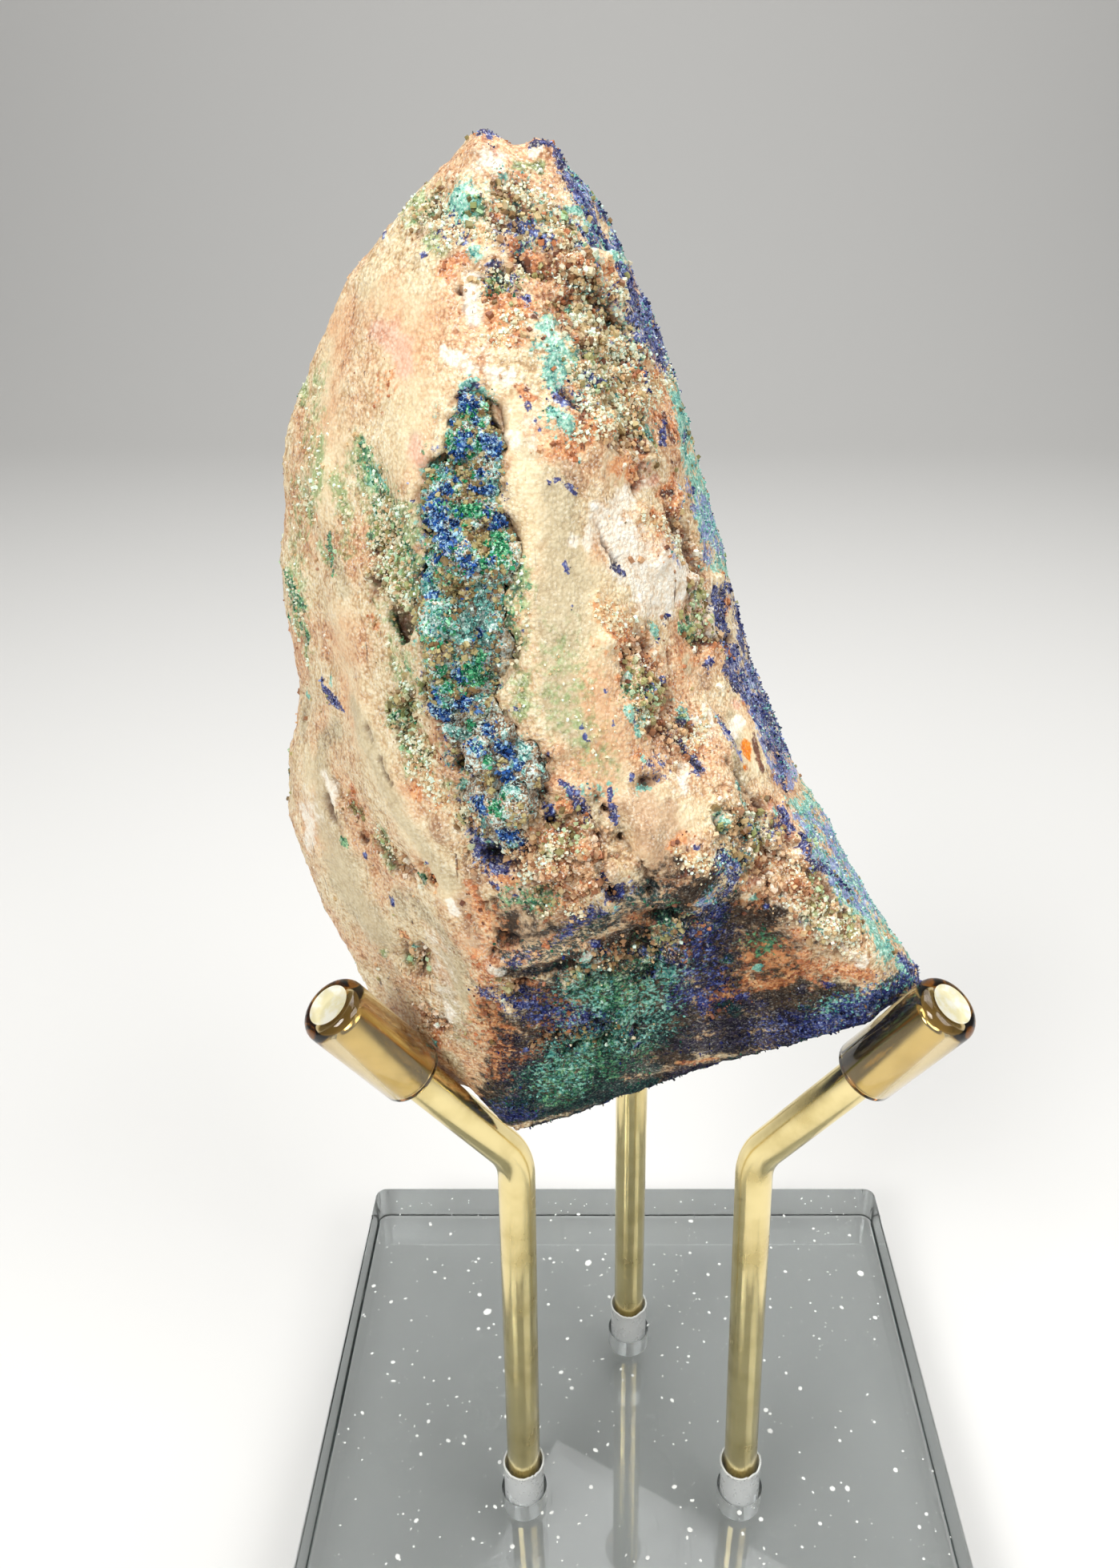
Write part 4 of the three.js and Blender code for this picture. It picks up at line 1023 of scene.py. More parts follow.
# %% Hidden sides
AWAY_STARTS = -0.02
AWAY_FULL = 0.3
BLOTCH = 13.0
FACET_STARTS = 118
FACET_FULL = 108
# Where the stone's right edge runs: heights, and how far right it is at each of them
EDGE_HEIGHTS = (85, 100, 115, 130, 145, 160, 177)
EDGE_PLACES = (20, 29, 18, 11, 7, 2, -8)

across, _, up = (stone_points / MM).T
stone_normals = normals_of(stone.data)
sight = stone_points - np.array(CAMERA_PLACE)
sight /= np.linalg.norm(sight, axis=1)[:, None]
turned_away = (sight * stone_normals).sum(axis=1)
hidden = risen(turned_away, AWAY_STARTS, AWAY_FULL)
low_down = risen(-up, -FACET_STARTS, -FACET_FULL)
edge_x = np.interp(up, EDGE_HEIGHTS, EDGE_PLACES)
ragged_edge = noise_at(stone_points, 5.0, 15) + 0.5 * noise_at(stone_points, 1.6, 16)
right_side = risen(stone_normals[:, 0] + 0.45 * ragged_edge, 0.1, 0.75)
right_side *= risen(across + 7 * ragged_edge, edge_x - 16, edge_x - 8)
underside = risen(-stone_normals[:, 2], 0.35, 0.7) * low_down
blotches = noise_at(stone_points, BLOTCH, 1) + 0.4 * ragged_edge
patches = noise_at(stone_points, BLOTCH * 0.6, 2) - 0.4 * ragged_edge
coat = np.clip(right_side + 0.9 * underside, 0, 1)
coat = np.maximum(coat * hidden, 0.75 * hidden * risen(blotches, -0.05, 0.3))
behind = {
    "azurite": coat * risen(patches, -0.15, 0.25),
    "turquoise": coat * risen(-patches, 0.0, 0.35) * 0.9,
    "malachite": 0.8 * hidden * risen(-blotches, 0.1, 0.4),
    "iron": 0.9 * hidden * risen(patches, 0.05, 0.4),
    "white": 0.8 * hidden * risen(-patches, 0.2, 0.5),
    "deep_teal": underside * risen(blotches, -0.3, 0.1) * hidden,
    "crumbly": 0.3 * hidden,
}
for name, amount in behind.items():
    add_paint(name, amount)
print("share of points on hidden sides:", round(float(hidden.mean()), 2))

# %% Right edge
# Bands down the right edge: where each mineral starts and ends, down the picture
EDGE_BANDS = {
    "azurite": ((165, 295), (325, 480), (745, 935), (1215, 1320)),
    "turquoise": ((240, 330), (470, 540), (550, 720), (985, 1210)),
    "lilac": ((200, 290), (380, 470), (600, 700), (820, 960), (1010, 1150)),
}
BAND_FADE = 12
BAND_GRAIN = 1.7
BAND_WAVE = 45
EDGE_STARTS = -0.5
EDGE_FULL = -0.25
FACET_FADE = (610, 680)

paint["lilac"] = np.zeros(len(stone_points))
seen_x, seen_y = in_picture(loose_points)
wavering = seen_y + BAND_WAVE * noise_at(stone_points, 6, 61)
at_edge = risen(turned_away, EDGE_STARTS, EDGE_FULL) * risen(stone_normals[:, 0], 0.2, 0.5)
for name, bands in EDGE_BANDS.items():
    for top, bottom in bands:
        band = risen(wavering, top - BAND_FADE, top)
        band *= risen(-wavering, -bottom - BAND_FADE, -bottom)
        broken = 0.45 + 0.55 * risen(noise_at(stone_points, BAND_GRAIN, 60 + top), -0.15, 0.2)
        add_paint(name, at_edge * band * broken)
# Faces turned down on the lower facet lose the pale coats and get the dark ones: painted shade, over the
# facet's own dark minerals.
below = risen(-stone_normals[:, 2], 0.05, 0.35) * low_down
below *= risen(turned_away, EDGE_STARTS - 0.15, EDGE_FULL) * risen(seen_x, *FACET_FADE)
for name in ("iron", "white", "rose", "sugar"):
    paint[name] *= 1 - below
add_paint("soil_and_shade", below)
add_paint("deep_teal", 0.5 * below)
add_paint("violet_dark", 0.6 * below)

# %% [markdown]
# ## The stone: relief
#
# Broken vein stone is smooth where a quartz face snapped clean, and crumbly where it is a mass of
# grains. The relief is the sum of a few sizes of noise, and the painted rough and smooth areas
# say how much of each there is. The skin is moved along its own normals. It stays clear of the
# arms of the stand, so near them it is only moved inward.

# %% Relief
LUMP = 4.2
LUMP_HEIGHT = 0.55
NUGGET = 2.2
NUGGET_HEIGHT = 0.6
CHIP = NUGGET * 0.45
CHIP_HEIGHT = 0.3
MIDDLE = 0.35
GRAIN = 0.9
GRAIN_HEIGHT = 0.24
STRIA_HEIGHT = 0.05
SNAP_DEPTH = 0.7
PIT_DEPTH = 1.1
RIM_NEAR = 0.5
RIM_FAR = 2.6
RIM_HEIGHT = 0.6
RIM_PAINT = 0.62
RIM_CLEAN = 605
BALL_RISE = 0.7
CRACK_SIZE = 3.4
CRACK_WIDTH = 0.16
CRACK_DEPTH = 0.8
COAT_RISE = 0.15
ARM_CLEARANCE = 0.1
MOST_INWARD = 0.3
MOST_OUTWARD = 0.75


def nuggets_at(points, size):
    """Rounded bumps, packed like grains: 0 in the seams and at most 1 on top."""
    nearest = [noise.voronoi(Vector(p))[0] for p in points / (size * MM)]
    return np.array([min(1.0, pair[1] - pair[0]) for pair in nearest])


STRIA_TURN = Matrix.Rotation(math.radians(-32), 3, "Y")
STRIA_STRETCH = np.array([0.35, 1.0, 0.12])
striated = noise_at(stone_points @ np.array(STRIA_TURN) * STRIA_STRETCH, 0.28, 5)
pocket_surface = surface_from(solid_of("pocket_crust"))
pocket_gap = np.array([pocket_surface.find_nearest(Vector(p))[3] for p in stone_points]) / MM
rim = 1 - risen(pocket_gap, RIM_NEAR, RIM_FAR)
crumb = np.clip(0.35 + 0.75 * paint["crumbly"] - 0.32 * paint["smooth"], 0.06, 1)
crumb = np.maximum(crumb, 0.8 * rim)
relief = LUMP_HEIGHT * crumb * noise_at(stone_points, LUMP, 3)
relief += NUGGET_HEIGHT * crumb * (nuggets_at(stone_points, NUGGET) - MIDDLE)
relief += CHIP_HEIGHT * crumb * (nuggets_at(stone_points, CHIP) - MIDDLE)
relief += GRAIN_HEIGHT * (0.15 + crumb) * noise_at(stone_points, GRAIN, 4)
relief += STRIA_HEIGHT * striated
relief += BALL_RISE * risen(paint["ball"], 0.1, 0.8)
relief -= SNAP_DEPTH * paint["snap"] + PIT_DEPTH * paint["shaded_pit"]
relief += RIM_HEIGHT * rim * noise_at(stone_points, 1.3, 10)
cracks = 1 - risen(nuggets_at(loose_points, CRACK_SIZE), 0.0, CRACK_WIDTH)
cracks *= risen(crumb, 0.45, 0.9)
relief -= CRACK_DEPTH * cracks
relief += COAT_RISE * np.maximum(paint["azurite"], paint["turquoise"])
rim_patches = noise_at(stone_points, 1.8, 11)
rim = rim * (1 - 0.8 * risen(seen_x, RIM_CLEAN, RIM_CLEAN + 25))
for name, side in (("azurite", 1), ("turquoise", -1), ("soil_and_shade", 0.2), ("malachite", -0.6)):
    add_paint(name, RIM_PAINT * rim * risen(side * rim_patches, -0.1, 0.35))
room = arm_gap(stone_points) - ARM_CLEARANCE
relief = np.minimum(relief, np.clip(room, -MOST_INWARD, MOST_OUTWARD))
stone_points = stone_points + stone_normals * (relief * MM)[:, None]
move_points(stone.data, stone_points)
print("relief from", round(relief.min(), 2), "to", round(relief.max(), 2), "mm")

# %% Keeping the paint on the points
def store(mesh, name, values):
    """Keeps one number a point, for the material to read."""
    kept = mesh.attributes.new(name, "FLOAT", "POINT")
    kept.data.foreach_set("value", np.asarray(values, np.float32))


for name, amount in paint.items():
    store(stone.data, name, amount)
store(stone.data, "low", risen(-relief, 0.05, 0.6))
store(stone.data, "crack", cracks)

# %% [markdown]
# ## The stone: colours
#
# The bare stone is cream to peach quartz, stained by iron, and everything on it is granular. Each
# mineral has five tones from its seams to its tops, shared out by the grit; the darkest are painted
# shade in the seams and the palest painted highlights on the tops. The minerals go on one after the
# other, each through its own ragged mask. Painted glints, and painted shade in sunk places, cracks,
# pits and over the dark coat of the lower facet, go on last.

# %% Stone material
stone_look, tree, shader = material("vein_stone")


def placed(tree, group, inputs):
    """One use of a shared group."""
    return node(tree, "ShaderNodeGroup", inputs, node_tree=group).outputs


RAMP_STOPS = (0.0, 0.3, 0.55, 0.8, 1.0)


def ramp(height, tones):
    """Colour of one mineral from its seams to its tops: dark seams as painted shade, pale tops as painted
    highlights.
    """
    made = node(height.id_data, "ShaderNodeValToRGB", {"Fac": height})
    stops = made.color_ramp.elements
    for _ in range(len(tones) - len(stops)):
        stops.new(0.5)
    for stop, at, tone in zip(stops, RAMP_STOPS, tones):
        stop.position = at
        stop.color = colour(*tone)
    return made.outputs["Color"]


# The dark soil, deep teal and violet tones are darker than these minerals' own colour: painted shade of the
# lower facet.
STONE_TONES = {
    "ash": ((112, 92, 66), (168, 148, 114), (200, 183, 146), (222, 209, 174), (244, 238, 212)),
    "sugar": ((120, 66, 40), (200, 130, 80), (232, 178, 124), (246, 226, 180), (248, 255, 240)),
    "peach": ((112, 68, 44), (188, 130, 90), (226, 180, 136), (242, 212, 168), (255, 246, 220)),
    "cream": ((138, 104, 70), (202, 168, 123), (232, 211, 169), (247, 232, 200), (255, 252, 234)),
    "tan": ((104, 70, 48), (158, 118, 86), (194, 158, 122), (216, 188, 152), (242, 226, 198)),
    "soil_and_shade": ((12, 11, 13), (34, 28, 27), (62, 49, 40), (96, 75, 58), (160, 138, 106)),
    "white": ((192, 158, 128), (238, 218, 190), (252, 243, 224), (255, 251, 240), (255, 255, 250)),
    "rose": ((150, 84, 70), (206, 136, 112), (234, 180, 154), (246, 210, 190), (255, 240, 230)),
    "iron": ((92, 46, 26), (180, 104, 60), (226, 152, 98), (246, 194, 136), (255, 240, 200)),
    "olive": ((60, 74, 44), (104, 128, 80), (148, 170, 112), (192, 214, 154), (238, 252, 212)),
    "rust_and_ledge_shade": ((24, 11, 10), (66, 34, 26), (112, 62, 44), (164, 110, 76), (226, 192, 140)),
    "deep_teal": ((3, 9, 15), (6, 24, 32), (11, 48, 52), (30, 84, 76), (128, 186, 156)),
    "violet_dark": ((7, 6, 12), (19, 17, 32), (34, 30, 52), (60, 56, 84), (126, 132, 160)),
    "malachite": ((8, 34, 28), (28, 84, 62), (66, 138, 98), (146, 208, 144), (236, 254, 212)),
    "turquoise": ((22, 72, 80), (78, 156, 146), (138, 206, 184), (196, 238, 218), (246, 255, 250)),
    "azurite": ((7, 8, 24), (20, 26, 72), (44, 54, 122), (108, 128, 192), (228, 242, 255)),
    "lilac": ((40, 42, 86), (92, 100, 158), (138, 150, 204), (184, 200, 236), (244, 252, 255)),
    "amber": ((110, 40, 4), (196, 88, 10), (236, 134, 30), (252, 176, 80), (255, 226, 160)),
}
VEIN_SCALE = (1, 0.5, 0.09)
VEIN_TURN = (0, math.radians(22), 0)

smooth = stored(tree, "smooth")
loose = less(1.0, times(smooth, 0.6))
fine_grit = placed(tree, grit, {"Size": 0.42})
coarse_grit = placed(tree, grit, {"Size": 1.1})
here = place_on(tree)
veins = stretched(here, VEIN_SCALE, VEIN_TURN)
streaks = noisy(veins, 0.30, 3)
height = plus(times(fine_grit["Height"], 0.55), times(coarse_grit["Height"], 0.25))
height = plus(height, times(streaks, 0.4))
loose = plus(loose, times(stored(tree, "crumbly"), 0.5))
swing = times(less(height, 0.6), loose)
tops = plus(swing, plus(0.52, times(smooth, 0.06)))

cloud = noisy(here, 8, 4)
look = mixed(ranged(cloud, 0.38, 0.6), ramp(tops, STONE_TONES["peach"]),
             ramp(tops, STONE_TONES["cream"]))

# Each coat: size of its patches, how raggedly it ends, how soft its rim is, and how thick it lies
COATS = {
    "ash": (2.4, 1.2, 0.35, 0.85), "olive": (0.8, 2.0, 0.3, 0.85), "rose": (2.6, 1.2, 0.35, 0.7),
    "tan": (2.2, 1.4, 0.35, 0.9), "sugar": (0.6, 2.2, 0.2, 0.85), "soil_and_shade": (1.2, 1.9, 0.2, 0.97),
    "iron": (1.0, 2.0, 0.22, 0.9), "rust_and_ledge_shade": (0.8, 1.4, 0.22, 0.95),
    "white": (1.0, 1.6, 0.25, 0.92), "violet_dark": (0.6, 2.2, 0.16, 0.9),
    "deep_teal": (0.5, 2.2, 0.14, 0.92), "malachite": (0.45, 2.4, 0.13, 0.88),
    "turquoise": (0.5, 2.4, 0.14, 0.92), "lilac": (0.5, 2.6, 0.14, 0.9),
    "azurite": (0.45, 2.4, 0.12, 0.95), "amber": (1.5, 1.2, 0.25, 1.0),
}
for name, (size, bite, softness, strength) in COATS.items():
    amount = stored(tree, name)
    if name == "azurite":
        amount = less(amount, times(smooth, 0.36))
    cover = placed(tree, ragged, {
        "Paint": amount, "Size": size, "Bite": bite, "Softness": softness})["Cover"]
    look = mixed(times(cover, strength), look, ramp(tops, STONE_TONES[name]))
specks = noisy(veins, 0.45, 2, 0.7)
dots = times(ranged(specks, 0.685, 0.72), less(loose, 0.2))
look = mixed(dots, look, colour(86, 56, 40))

# Painted glints: tiny near-white spots mixed into the colour, fewer on the dark coat.
lit = less(0.4, times(stored(tree, "soil_and_shade"), 0.32))
glints = times(fine_grit["Bright"], times(loose, lit))
look = mixed(glints, look, colour(255, 252, 238))
# Painted shade: the sunk places of the relief are darkened, less on the white coat.
depth = less(0.62, times(stored(tree, "white"), 0.4))
shade = times(stored(tree, "low"), depth)
look = mixed(shade, look, colour(146, 98, 74), "MULTIPLY")
# Painted shade in the cracks, pits and snapped edges.
crevice_shade = times(stored(tree, "crack"), 0.72)
crevice_shade = larger(crevice_shade, times(stored(tree, "shaded_pit"), 0.9))
crevice_shade = larger(crevice_shade, times(stored(tree, "snap"), 0.75))
look = mixed(crevice_shade, look, colour(92, 60, 46), "MULTIPLY")
# Painted shade: the dark coat is darkened further with a cool grey.
dark_coat_shade = times(stored(tree, "soil_and_shade"), 0.27)
final = mixed(dark_coat_shade, look, colour(104, 124, 130), "MULTIPLY")
tree.links.new(final, shader.inputs["Base Color"])
tree.links.new(ranged(fine_grit["Bright"], 0, 1, 0.6, 0.22), shader.inputs["Roughness"])
sheen = less(0.5, times(stored(tree, "soil_and_shade"), 0.42))
tree.links.new(sheen, shader.inputs["Specular IOR Level"])
bumped(shader, tops, 0.8, 0.32)
stone.data.materials.clear()
stone.data.materials.append(stone_look)
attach(stone, "root")
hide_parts("rock")
print("stone material:", len(tree.nodes), "nodes")

# %% [markdown]
# ## Pocket crust
#
# The long hollow is lined with a crust: lumps of grown-together crystals with brownish vein stone
# showing between them. The crust gets its own fine skin, and its rim is drawn to the stone so that
# no gap shows. Blue and green gather in patches, and the same numbers that colour the skin later
# say where each kind of crystal is set.

# %% Crust skin
CRUST_VOXEL = 0.2
CRUST_LUMP = 2.4
CRUST_LUMP_HEIGHT = 0.75
CRUST_NUGGET = 1.1
CRUST_NUGGET_HEIGHT = 0.7
CRUST_GRAIN_HEIGHT = 0.15
CRUST_RISE = 0.45
CRUST_SWELL = 0.9
CRUST_LIFT = 0.4
WALL_REACH = 1.1
WALL_TOUCH = 0.35
UPPER_END = 905
UPPER_FADE = 25

crust = skin_over(solid_of("pocket_crust"), "crust_skin", CRUST_VOXEL, 1)
crust_points = points_of(crust.data)
crust_normals = normals_of(crust.data)
swirl = noise_at(crust_points, 3.2, 6)
crust_relief = CRUST_LUMP_HEIGHT * noise_at(crust_points, CRUST_LUMP, 8)
crust_relief += CRUST_NUGGET_HEIGHT * (nuggets_at(crust_points, CRUST_NUGGET) - 0.4)
crust_relief += CRUST_GRAIN_HEIGHT * noise_at(crust_points, 0.5, 9)
balls, _ = laid(PAINTS["ball"], surface_of(crust), crust_points)
swell = CRUST_RISE + CRUST_SWELL * np.maximum(noise_at(crust_points, 3.4, 12), -0.25)
swell += BALL_RISE * risen(balls, 0.1, 0.8)
sight = crust_points - np.array(CAMERA_PLACE)
front = (sight * crust_normals).sum(axis=1) < -0.6 * np.linalg.norm(sight, axis=1)
facing = crust_normals[front].mean(axis=0)
lift = CRUST_LIFT * facing / np.linalg.norm(facing)
crust_points = crust_points + (crust_normals * (crust_relief + swell)[:, None] + lift) * MM
wall = surface_of(stone)
nearest = [wall.find_nearest(Vector(p)) for p in crust_points]
wall_gap = np.array([found[3] for found in nearest]) / MM
pull = risen(-wall_gap, -WALL_REACH, -WALL_TOUCH)[:, None]
crust_points += pull * (np.array([found[0] for found in nearest]) - crust_points)
move_points(crust.data, crust_points)
POCKET_PAINTS = {
    "blue": [
        (578, 498, 6), (548, 530, 6), [(566, 508, 5), (592, 508, 5)], (565, 528, 5), (594, 526, 5),
        [(580, 545, 6), (572, 565, 6)], [(607, 550, 6), (620, 565, 7)], (556, 612, 6), (600, 590, 5),
        [(545, 635, 9), (544, 655, 10), (555, 668, 8), (560, 685, 7)], [(620, 645, 7), (622, 655, 6)],
        [(580, 700, 7), (590, 712, 6)], (540, 745, 6), (575, 845, 9), (545, 870, 8), (606, 640, 4),
        [(572, 880, 7), (584, 878, 6)], [(540, 885, 6), (552, 895, 7), (562, 892, 6)], (570, 600, 4),
        (590, 610, 4), (612, 612, 5), (600, 790, 5), (535, 720, 5), (548, 700, 5), (614, 700, 4),
        (560, 590, 4), (540, 620, 5), (604, 612, 5), (566, 655, 5), (548, 902, 5), (595, 890, 3),
        (608, 912, 7), [(588, 925, 5), (596, 940, 5)], [(626, 932, 8), (636, 942, 7)], (645, 955, 6),
        [(630, 966, 8), (640, 972, 6)], (682, 944, 4), [(600, 1000, 6), (603, 1012, 5)], (590, 1042, 7),
        (606, 1060, 7), [(600, 1085, 6), (612, 1086, 6)], [(640, 1045, 7), (628, 1040, 6)], (655, 1052, 5),
        (652, 1076, 4), (628, 1084, 4),
    ],
    "green": [
        (585, 515, 7), (566, 550, 6), (548, 628, 6), [(570, 638, 7), (588, 638, 7), (597, 640, 6)],
        [(622, 668, 6), (625, 690, 6)], (605, 705, 7), [(590, 835, 8), (595, 850, 7)], (590, 905, 6),
        (560, 572, 4), (600, 560, 4), (582, 655, 4), (610, 680, 5), (600, 822, 6), (612, 640, 4),
        (553, 838, 6), (560, 858, 5), (600, 530, 4), (610, 950, 5), (630, 992, 5),
        [(618, 1008, 6), (628, 1016, 5)],
    ],
    "sea": [
        [(580, 770, 6), (578, 790, 6)], (595, 822, 6), [(600, 780, 6), (612, 800, 7), (618, 812, 6)],
        [(608, 600, 7), (622, 612, 7)], [(530, 700, 6), (540, 715, 6)], [(590, 480, 6), (580, 482, 6)],
        (600, 740, 6), (556, 700, 6), (618, 625, 6), (540, 870, 7), [(560, 875, 8), (556, 895, 6)],
        [(562, 910, 6), (576, 918, 5)], [(650, 928, 7), (656, 942, 8), (648, 952, 6)], (610, 957, 6),
        (655, 966, 5), (680, 956, 6), (640, 1055, 6),
    ],
    "pale": [
        (578, 482, 6), (598, 492, 5), [(548, 585, 6), (556, 595, 7)], (615, 600, 5), (626, 625, 5),
        [(535, 700, 6), (530, 725, 8), (540, 738, 6)], [(545, 765, 9), (550, 780, 12), (565, 790, 10)],
        [(585, 775, 9), (575, 800, 8)], (560, 755, 7), [(595, 735, 8), (605, 755, 8), (600, 775, 8)],
        (612, 780, 7), (558, 860, 6), [(565, 912, 5), (585, 918, 5)], (605, 800, 6), (592, 500, 3),
        (575, 575, 4), (560, 640, 3), (620, 580, 4), (600, 870, 5), (540, 800, 6), (560, 878, 5),
        [(600, 928, 4), (596, 932, 5)], (630, 918, 7), (612, 953, 5), (640, 955, 4), (655, 966, 4),
        (676, 958, 6), [(630, 987, 6), (645, 990, 6)], (620, 1000, 5), (628, 1018, 5),
        [(600, 1020, 6), (605, 1030, 5)], (606, 1072, 5), (650, 1030, 5),
    ],
    "brown": [
        (562, 508, 7), [(575, 590, 8), (590, 600, 9), (585, 615, 8)], (580, 655, 6), (620, 700, 6),
        [(595, 672, 8), (608, 680, 8), (600, 690, 7)], [(560, 730, 8), (575, 735, 9), (588, 738, 7)],
        (550, 815, 11), (577, 808, 7), (555, 550, 4), (608, 655, 5), (598, 578, 5), (545, 845, 5),
        (570, 862, 5), (590, 890, 5), [(568, 935, 8), (575, 945, 10)], [(605, 972, 10), (615, 982, 9)],
        (645, 1010, 8), (660, 1020, 8), (625, 950, 5), (590, 1030, 6), (640, 1030, 8), (610, 1040, 6),
        (590, 1060, 6), (650, 1062, 9), (670, 975, 8), (665, 1040, 10),
    ],
    "ridge": [
        [(640, 560, 8), (644, 600, 9), (648, 640, 10), (650, 680, 10), (648, 720, 9), (642, 760, 8)],
        [(636, 790, 7), (634, 820, 8), (630, 850, 8), (622, 880, 8)], [(528, 580, 8), (524, 620, 7)],
        [(518, 660, 7), (514, 700, 6)], [(516, 760, 8), (520, 800, 8), (524, 840, 7), (528, 870, 6)],
        (632, 520, 7),
    ],
    # Dark holes between the crystals: painted shade.
    "hollow": [
        [(565, 750, 6), (568, 762, 6)], (600, 500, 4), (607, 575, 4), (620, 648, 4), (612, 755, 4),
        (560, 880, 4), (590, 660, 3), (566, 530, 3), (585, 560, 3), (552, 700, 3), (590, 770, 3),
        (575, 825, 3), (540, 660, 3), (604, 716, 3), (565, 898, 5), (605, 940, 4), (585, 960, 5),
        [(612, 1060, 7), (622, 1070, 8)], (598, 1003, 4), (592, 1046, 4), (645, 978, 4), (620, 990, 3),
    ],
}
crust_surface = surface_of(crust)
crust_paint = {}
for name, strokes in POCKET_PAINTS.items():
    crust_paint[name], _ = laid(strokes, crust_surface, crust_points)
    store(crust.data, name, crust_paint[name])
_, crust_y = in_picture(crust_points)
bare = 1 - risen(crust_paint["ridge"], 0.2, 0.6)
upper = risen(-crust_y, -UPPER_END, UPPER_FADE - UPPER_END) * bare
store(crust.data, "upper", upper)
store(crust.data, "low", risen(-crust_relief, 0.0, 0.4))

# %% Crust material
crust_look, tree, shader = material("crust_of_crystals")
small = placed(tree, grit, {"Size": 0.32})
here = place_on(tree)
tops = small["Height"]
CRYSTAL_TONES = {
    "blue": ((5, 9, 30), (20, 44, 108), (50, 92, 172), (122, 178, 222), (240, 252, 255)),
    "green": ((6, 40, 32), (32, 114, 80), (84, 180, 124), (164, 232, 176), (240, 255, 236)),
    "sea": ((12, 46, 50), (54, 126, 124), (112, 190, 178), (182, 236, 218), (246, 255, 250)),
    "pale": ((56, 106, 104), (124, 180, 170), (178, 222, 206), (222, 248, 236), (255, 255, 255)),
    "brown": ((62, 42, 30), (132, 100, 72), (186, 150, 116), (226, 202, 168), (255, 248, 228)),
    "ridge": ((120, 90, 62), (196, 166, 126), (228, 210, 170), (244, 232, 200), (255, 252, 234)),
    # Near-black tones for the holes: painted shade.
    "hollow": ((5, 4, 5), (12, 10, 11), (22, 17, 18), (40, 32, 30), (78, 68, 62)),
}
# Patches in the upper pocket: their size, and the noise at which they start and are full
PATCHES = {"sea": (1.6, 0.57, 0.61), "blue": (1.3, 0.59, 0.63), "green": (1.1, 0.56, 0.6)}
BITES = {"brown": 2.0, "sea": 2.6, "green": 2.6, "blue": 2.6, "pale": 2.4, "ridge": 1.2, "hollow": 1.0}
MATRIX = ((66, 46, 34), (134, 102, 76), (186, 152, 120), (224, 200, 168), (252, 246, 226))
look = ramp(tops, MATRIX)
for name, (spread, low, high) in PATCHES.items():
    patch = times(ranged(noisy(here, spread, 3), low, high), stored(tree, "upper"))
    look = mixed(patch, look, ramp(tops, CRYSTAL_TONES[name]))
for name, bite in BITES.items():
    cover = placed(tree, ragged, {
        "Paint": stored(tree, name), "Size": 0.55, "Bite": bite, "Softness": 0.1})["Cover"]
    look = mixed(cover, look, ramp(tops, CRYSTAL_TONES[name]))
# Painted glints: pale mint spots mixed into the crust's colour.
crust_glints = larger(ranged(noisy(here, 0.34, 2), 0.53, 0.59), small["Bright"])
look = mixed(times(crust_glints, 0.85), look, colour(230, 253, 244))
# Painted shade in the low places of the crust.
look = mixed(times(stored(tree, "low"), 0.65), look, colour(66, 54, 52), "MULTIPLY")
tree.links.new(look, shader.inputs["Base Color"])
tree.links.new(ranged(small["Bright"], 0, 1, 0.45, 0.18), shader.inputs["Roughness"])
bumped(shader, tops, 0.8, 0.25)
crust.data.materials.clear()
crust.data.materials.append(crust_look)
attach(crust, "root")
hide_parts("pocket_crust")

# %% [markdown]
# ## Loose grains and crystals
#
# Up close the coats are thousands of separate grains, each with its own faces, and that is what
# makes them twinkle. One small shape is made for each kind, and then set many times over the
# skin, turned and sized by a seeded random generator. Joined into one mesh a kind, they stay a
# real surface, which instances or particles would not.

# %% Grain shapes
CRUMB_SEED = 3


def grain_shape(kind):
    """Points and triangles of one grain, about one unit across and rising along Z."""
    bm = bmesh.new()
    if kind == "blade":
        bmesh.ops.create_cone(bm, cap_ends=True, segments=4, radius1=0.5, radius2=0.26, depth=1.1)
        bmesh.ops.scale(bm, verts=bm.verts, vec=(1.0, 0.6, 0.9))
    elif kind == "druse":
        bmesh.ops.create_cone(bm, cap_ends=True, segments=4, radius1=0.5, radius2=0.15, depth=0.7)
    else:
        bmesh.ops.create_cube(bm, size=0.8)
        noise.seed_set(CRUMB_SEED)
        for vert in bm.verts:
            vert.co += 0.3 * noise.noise_vector(vert.co * 2.3)
    bmesh.ops.triangulate(bm, faces=bm.faces)
    bmesh.ops.recalc_face_normals(bm, faces=bm.faces)
    shape = np.array([vert.co for vert in bm.verts])
    faces = np.array([[vert.index for vert in face.verts] for face in bm.faces])
    bm.free()
    return shape, faces


def triangles_of(mesh):
    """Corner numbers of each triangle."""
    mesh.calc_loop_triangles()
    flat = np.empty(len(mesh.loop_triangles) * 3, np.int32)
    mesh.loop_triangles.foreach_get("vertices", flat)
    return flat.reshape(-1, 3)


CLEAR_OF_ARMS = 0.9
DIMMED = 0.9
GRAIN_POWER = 1.6
GRAIN_STRETCH = 0.35
GRAIN_TILT = 0.25


